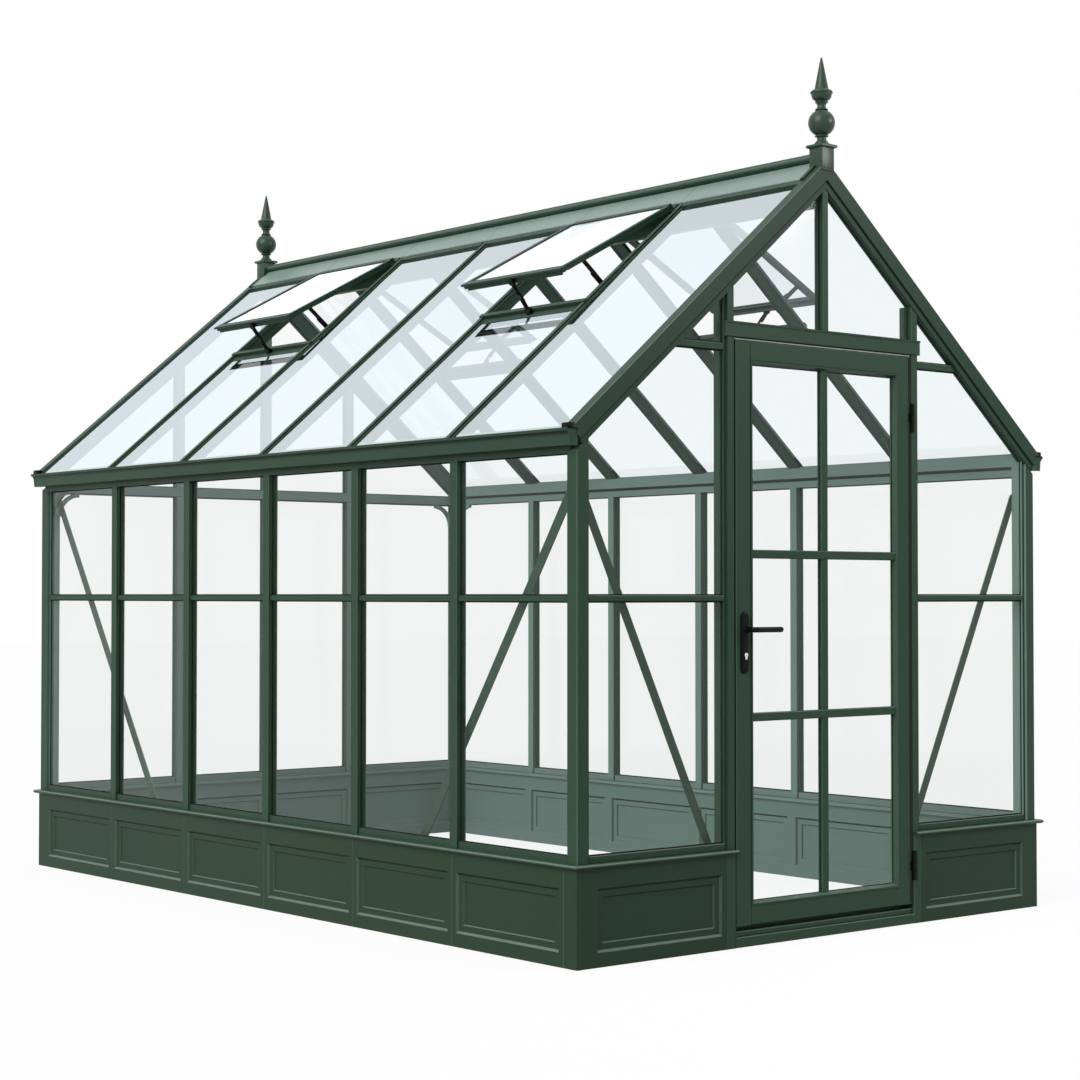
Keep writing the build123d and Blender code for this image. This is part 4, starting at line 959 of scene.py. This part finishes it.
# %% [markdown]
# ## Vent stays
#
# A stay holds each vent up: a rod, bent a little, between a clamp on the front of the vent's
# lower rail and a pivot block on the front of the cill, with a thicker sleeve at each end.
# Beside it, near the rafter, a flat arm in two overlapping lengths does the same work from
# below. The rod is a ring spun about a far centre, which gives its even bend. One set is
# modelled for the right slope, copied to the other bay, and mirrored to the left.

# %% Rods, pivots and brackets
slope_down = (on_slope(1, 0) - on_slope(0, 0)).normalized()
slope_out = (on_slope(0, 1) - on_slope(0, 0)).normalized()
vent_down = (on_vent(1, 0) - on_vent(0, 0)).normalized()
vent_out = (on_vent(0, 1) - on_vent(0, 0)).normalized()


def bent_rod(name, start, end, radius, sag):
    """A round rod from start to end in the slope's plane, bent by a small sag."""
    run = end - start
    away = run.cross(BACK).normalized()
    bow = (run.length ** 2 / 4 + sag ** 2) / (2 * sag)
    middle = (start + end) / 2 + away * (sag - bow)
    sweep = 2 * asin(run.length / 2 / bow)
    first = (start - middle).cross(BACK).normalized()
    first = first if first.dot(run) > 0 else -first
    round_bar(name, start, first, radius, 14)
    turn_axis = (start - middle).cross(end - middle).normalized()
    bpy.ops.mesh.spin(steps=12, angle=-sweep, center=middle, axis=turn_axis)
    return leave()


def pivot(name, place, wide, radius):
    """A pin across a stay: a turned barrel with a head at each end."""
    half = wide / 2
    head = radius * 0.86
    outline = even_ends((radius, half), (head, half), (head, half + 1.4),
                        (radius * 0.6, half + 2.4), (0, half + 2.4))
    return turn(name, outline, place, BACK, steps=18)


def bracket(place, down, out, size, wide):
    """A rounded block across a stay, in the plane of the slope or of the vent, in mm."""
    return plate("bracket", round_corners(*size, 3.6, 3), place + BACK * wide / 2 * MM, down, out,
                 wide - 1, ((1.0, 1.0),))


print("slope", tuple(slope_down), "lifted vent", tuple(vent_down))

# %% One rod with its brackets
ROD_TOP, ROD_FOOT = (0.6625, -0.005), (0.8040, 0.006)
TOP_BRACKET, FOOT_BRACKET = (0.6620, 0.001), (0.8040, 0.001)
SLEEVE = [(0, 0), (7.8, 0), (8.6, 1), (8.6, 46), (7.4, 51), (6.0, 52), (0, 52)]


def stay(y):
    """The rod of one vent whose middle is at y, with its clamp on the rail and its pivot."""
    top, foot = on_vent(*ROD_TOP, y), on_slope(*ROD_FOOT, y)
    rod_line = (top - foot).normalized()
    return [
        bent_rod("rod", foot, top, 5.4, 0.006),
        pivot("foot_pin", foot, 32, 8.0),
        pivot("top_pin", top, 28, 6.0),
        bracket(on_slope(*FOOT_BRACKET, y), slope_down, slope_out, (15, 27), 26),
        bracket(on_vent(*TOP_BRACKET, y), vent_down, vent_out, (13, 30), 24),
        turn("rod_sleeve", SLEEVE, foot + rod_line * 4 * MM, rod_line, steps=16),
        turn("rod_collar", SLEEVE, top - rod_line * 4 * MM, -rod_line, steps=16),
    ]


print("a rod is", round((on_vent(*ROD_TOP) - on_slope(*ROD_FOOT)).length, 3), "m long")

# %% One flat arm
ARM_TOP, ARM_FOOT, ARM_ASIDE = (0.530, 0.002), (0.640, -0.044), 0.285
ARM_THICK, ARM_LAP, ARM_CROWN = 4.0, 6, ((0.5, 0.5),)


def arm(y):
    """The flat two-part arm beside the rafter, for a vent whose middle is at y."""
    top, foot = on_vent(*ARM_TOP, y - ARM_ASIDE), on_slope(*ARM_FOOT, y - ARM_ASIDE)
    line = (foot - top).normalized()
    flat = line.cross(BACK).normalized()
    length = (foot - top).length / MM
    upper = plate("arm_upper", round_corners(length * 0.62, 18, 8),
                  top + line * (length * 0.31 - ARM_LAP) * MM, line, flat, ARM_THICK, ARM_CROWN)
    lower = plate("arm_lower", round_corners(length * 0.66, 23, 10),
                  foot - line * (length * 0.33 - ARM_LAP) * MM + BACK * 4.6 * MM, line, flat,
                  ARM_THICK, ARM_CROWN)
    clamp = pivot("arm_clamp", top.lerp(foot, 0.5), 9, 7.0)
    foot_pin = pivot("arm_foot_pin", foot, 10, 6.0)
    seat = plate("arm_seat", round_corners(40, 22, 4), foot - BACK * 5 * MM, slope_down,
                 slope_out, 8.0, ((0.6, 0.6),))
    return [upper, lower, clamp, foot_pin, seat]


print("an arm is", round((on_vent(*ARM_TOP) - on_slope(*ARM_FOOT)).length, 3), "m long")

# %% Four sets
VENT_MIDDLES = (-0.930, 0.930)
front_set = joined("stay_front", *stay(VENT_MIDDLES[0]), *arm(VENT_MIDDLES[0]))
rear_set = copied(front_set, "stay_rear", BACK * (VENT_MIDDLES[1] - VENT_MIDDLES[0]))
stays = both_sides("vent_stay_sets", LEFT_RIGHT, front_set, rear_set)
settle(stays, black_metal, "frame", "black_metal", "vent_stays")

# %% [markdown]
# ## Braces
#
# A flat bar runs aslant from the corner post down to the sill on both sides of the door and at
# both ends of the left wall, where it is wider, and keeps the frame square. Its upper end is
# round about its screw, and its foot is cut level on the sill. The outline is an arc about the
# upper end and two points on the sill, one on each long edge.

# %% One brace
brace_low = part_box("braces")[0]


def brace(name, wide, top, aim, origin, across):
    """A brace in an upright plane, in mm: from its top it aims at a point, and ends on the sill."""
    along = (Vector(aim) - Vector(top)).normalized()
    sideways = Vector((-along.y, along.x))
    heading = degrees(atan2(along.y, along.x))
    ends = []
    for side in (-1, 1):
        edge = Vector(top) + sideways * wide / 2 * side
        ends.append(edge + along * ((brace_low.z / MM - edge.y) / along.y))
    bar = plate(name, arc(top, wide / 2, heading + 90, heading + 270, 10) + ends, origin, across,
                UP, 4.4, ((0.6, 0.6),))
    inwards = across.cross(UP)
    screws = [screw(origin + (across * x + UP * z + inwards * 5) * MM, inwards, 4.5)
              for x, z in (top, Vector(top).lerp(Vector(aim), 0.97))]
    return joined(name, bar, *screws)


print("the braces stand on the sill at", round(brace_low.z, 4), "m")

# %% Four braces
AIM_Z = 343.0
wall_brace = brace("wall_brace", wide=40, top=(-1884.7, 1712), aim=(-965, AIM_Z),
                   origin=Vector((-1.164, 0, 0)), across=BACK)
gable_brace = brace("gable_brace", wide=34, top=(1169, 1655), aim=(541, AIM_Z),
                    origin=Vector((0, -1.864, 0)), across=-RIGHT)
braces = joined("flat_braces", both_sides("wall_braces", FRONT_BACK, wall_brace),
                both_sides("gable_braces", LEFT_RIGHT, gable_brace))
settle(braces, frame_paint, "frame", "frame", "braces")

# %% [markdown]
# ## Rubber round the panes
#
# Every pane of the walls, the gables and the door is held by a black rubber strip that shows as
# a thin dark line between bar and glass. The panes are already there, so the strips are made
# from copies of them: only the outer faces are kept, an inset finds the edge of the bars, a
# second inset gives the strip its width, and what lies inside it is deleted.

# %% Strips from the panes
def strips(name, source, outwards, hidden, wide, thick):
    """Rubber strips on the outer side of all panes of one node. The sizes are in mm."""
    piece = bpy.data.objects.new(name, nodes[source].data.copy())
    bpy.context.scene.collection.objects.link(piece)
    edit(piece)
    bpy.ops.mesh.remove_doubles(threshold=1e-5)
    bpy.ops.mesh.dissolve_limited(angle_limit=radians(2))
    pick(piece, lambda face: face.normal.dot(outwards) < 0.9)
    bpy.ops.mesh.delete(type="FACE")
    bpy.ops.mesh.select_all(action="SELECT")
    bpy.ops.mesh.inset(thickness=hidden * MM, use_boundary=True)
    bpy.ops.mesh.select_all(action="INVERT")
    bpy.ops.mesh.delete(type="FACE")
    bpy.ops.mesh.select_all(action="SELECT")
    bpy.ops.mesh.inset(thickness=wide * MM, use_boundary=True)
    bpy.ops.mesh.delete(type="FACE")
    bpy.ops.mesh.select_all(action="SELECT")
    bpy.ops.transform.translate(value=outwards * 0.2 * MM)
    bpy.ops.object.mode_set(mode="OBJECT")
    body = piece.modifiers.new("thickness", "SOLIDIFY")
    body.thickness = thick * MM
    body.offset = 1
    only(piece)
    bpy.ops.object.modifier_apply(modifier="thickness")
    edit(piece)
    return leave(30)


wall_strips = [
    strips("strips", source, outwards, hidden=5, wide=6, thick=1.5) for source, outwards in (
        ("right_wall_glass", RIGHT), ("left_wall_glass", -RIGHT),
        ("front_gable_glass", -BACK), ("rear_gable_glass", BACK))]
settle(joined("pane_strips", *wall_strips), rubber, "frame", "black_metal")
door_strips = strips("door_pane_strips", "door_glass", -BACK, hidden=9, wide=3, thick=1.2)
settle(door_strips, rubber, "door", "black_metal")

# %% [markdown]
# ## Seals round the door
#
# Thin strips keep the draught out. A soft black one lines the gap beside each door post, with
# two millimetres left free at the lock side, where the leaf's rear corner swings by. A lipped
# one is fixed along the leaf's hinge side and stops at each hinge. Above the leaf hangs a brush
# of short grey pile in a dark holder.

# %% Side seals
SEAL_FOOT, SEAL_TOP = 0.080, 2.186
SEAL_FRONT, SEAL_BACK = -1.918, -1.886
SEAL_INNER, SEAL_OUTER = 0.4745, 0.4800
side_seals = [block("seal", (low, SEAL_FRONT, SEAL_FOOT), (high, SEAL_BACK, SEAL_TOP), 0.0012)
              for low, high in ((-SEAL_OUTER, -SEAL_INNER), (SEAL_INNER, SEAL_OUTER))]
settle(joined("door_gap_seals", *side_seals), rubber, "frame", "black_metal")

# %% Lip on the hinge side
LIP_FOOT, LIP_TOP, LIP_X = 0.080, 2.176, 0.4685
HINGE_CLEAR = 0.057
LIP = [(0, 0), (13, 0), (13, 1.2), (11, 2.0), (8.5, 2.2), (6.5, 1.4), (4.5, 2.4), (2, 2.8),
       (0, 2.4)]
leaf_low, leaf_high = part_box("door_stiles")
stops = [height + side * HINGE_CLEAR for height in HINGE_HEIGHTS for side in (-1, 1)]
lip_ends = [LIP_FOOT, *stops, LIP_TOP]
lips = [plate("lip", [(x - 6.5, -y) for x, y in LIP], (LIP_X, leaf_low.y + 0.0001, low), RIGHT,
              BACK, (high - low) / MM) for low, high in zip(lip_ends[0::2], lip_ends[1::2])]
settle(joined("hinge_side_lip", *lips), rubber, "door", "black_metal")

# %% Brush under the door head
BRUSH_HALF, BRUSH_TOP = 0.473, 2.191
HOLDER_HALF, HOLDER_TOP = 474, 2.1905
HOLDER = [(-5.5, 0), (5.5, 0), (5.5, -3.5), (4.3, -3.5), (4.3, -1), (-4.3, -1), (-4.3, -3.5),
          (-5.5, -3.5)]
brush_y = leaf_low.y + 0.008
brush = block("brush_pile", (-BRUSH_HALF, brush_y - 0.0035, leaf_high.z + 0.003),
              (BRUSH_HALF, brush_y + 0.0035, BRUSH_TOP), 0.0010)
edit(brush)
bpy.ops.mesh.subdivide(number_cuts=5)
bpy.ops.object.mode_set(mode="OBJECT")
settle(brush, pile, "frame", "black_metal")
holder = plate("brush_holder", HOLDER, (-HOLDER_HALF * MM, brush_y, HOLDER_TOP), BACK, UP,
               2 * HOLDER_HALF)
settle(holder, black_metal, "frame", "black_metal")

# %% [markdown]
# ## Caps and ends of the gutters
#
# A rounded black cap closes the foot of each verge where it stands on the gutter's end, and a
# thin pressed plate with a small rim closes the gutter itself. Both are made once, at the front
# right corner, and mirrored to the other three.

# %% Verge caps
VERGE_FOOT, CAP_RIM_TOP, CAP_DOME_TOP = 1.8245, 1.8285, 1.845
cap_front, cap_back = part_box("verges_right")[0].y + 0.0002, -1.892


def four_corners(name, *pieces):
    """Pieces of the front right corner and their three mirror images, as one piece."""
    return both_sides(name, FRONT_BACK, both_sides("front_pair", LEFT_RIGHT, *pieces))


cap_dome = block("cap_dome", (1.236, cap_front, VERGE_FOOT), (1.268, cap_back, CAP_DOME_TOP),
                 0.006, 4)
cap_rim = block("cap_rim", (1.235, cap_front - 0.0008, VERGE_FOOT),
                (1.2695, cap_back + 0.001, CAP_RIM_TOP), 0.0012)
settle(four_corners("verge_caps", cap_dome, cap_rim), black_metal, "frame", "black_metal")

# %% Gutter ends
WALL_FACE = 1.226
GUTTER = [(0.5, -1), (37, -1), (40.5, 30), *arc((67, 28.4), 26.5, 175, 118, 5), (55, 51),
          (55, 59), (0.5, 59)]
gutter_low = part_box("gutters")[0]
end_plate = plate("gutter_end", GUTTER, (WALL_FACE, gutter_low.y + 0.0005, gutter_low.z), RIGHT,
                  UP, 1.2, ((0.5, 0.5), (2.2, 0), (0.5, -0.8)))
settle(four_corners("gutter_ends", end_plate), frame_paint, "frame", "frame")
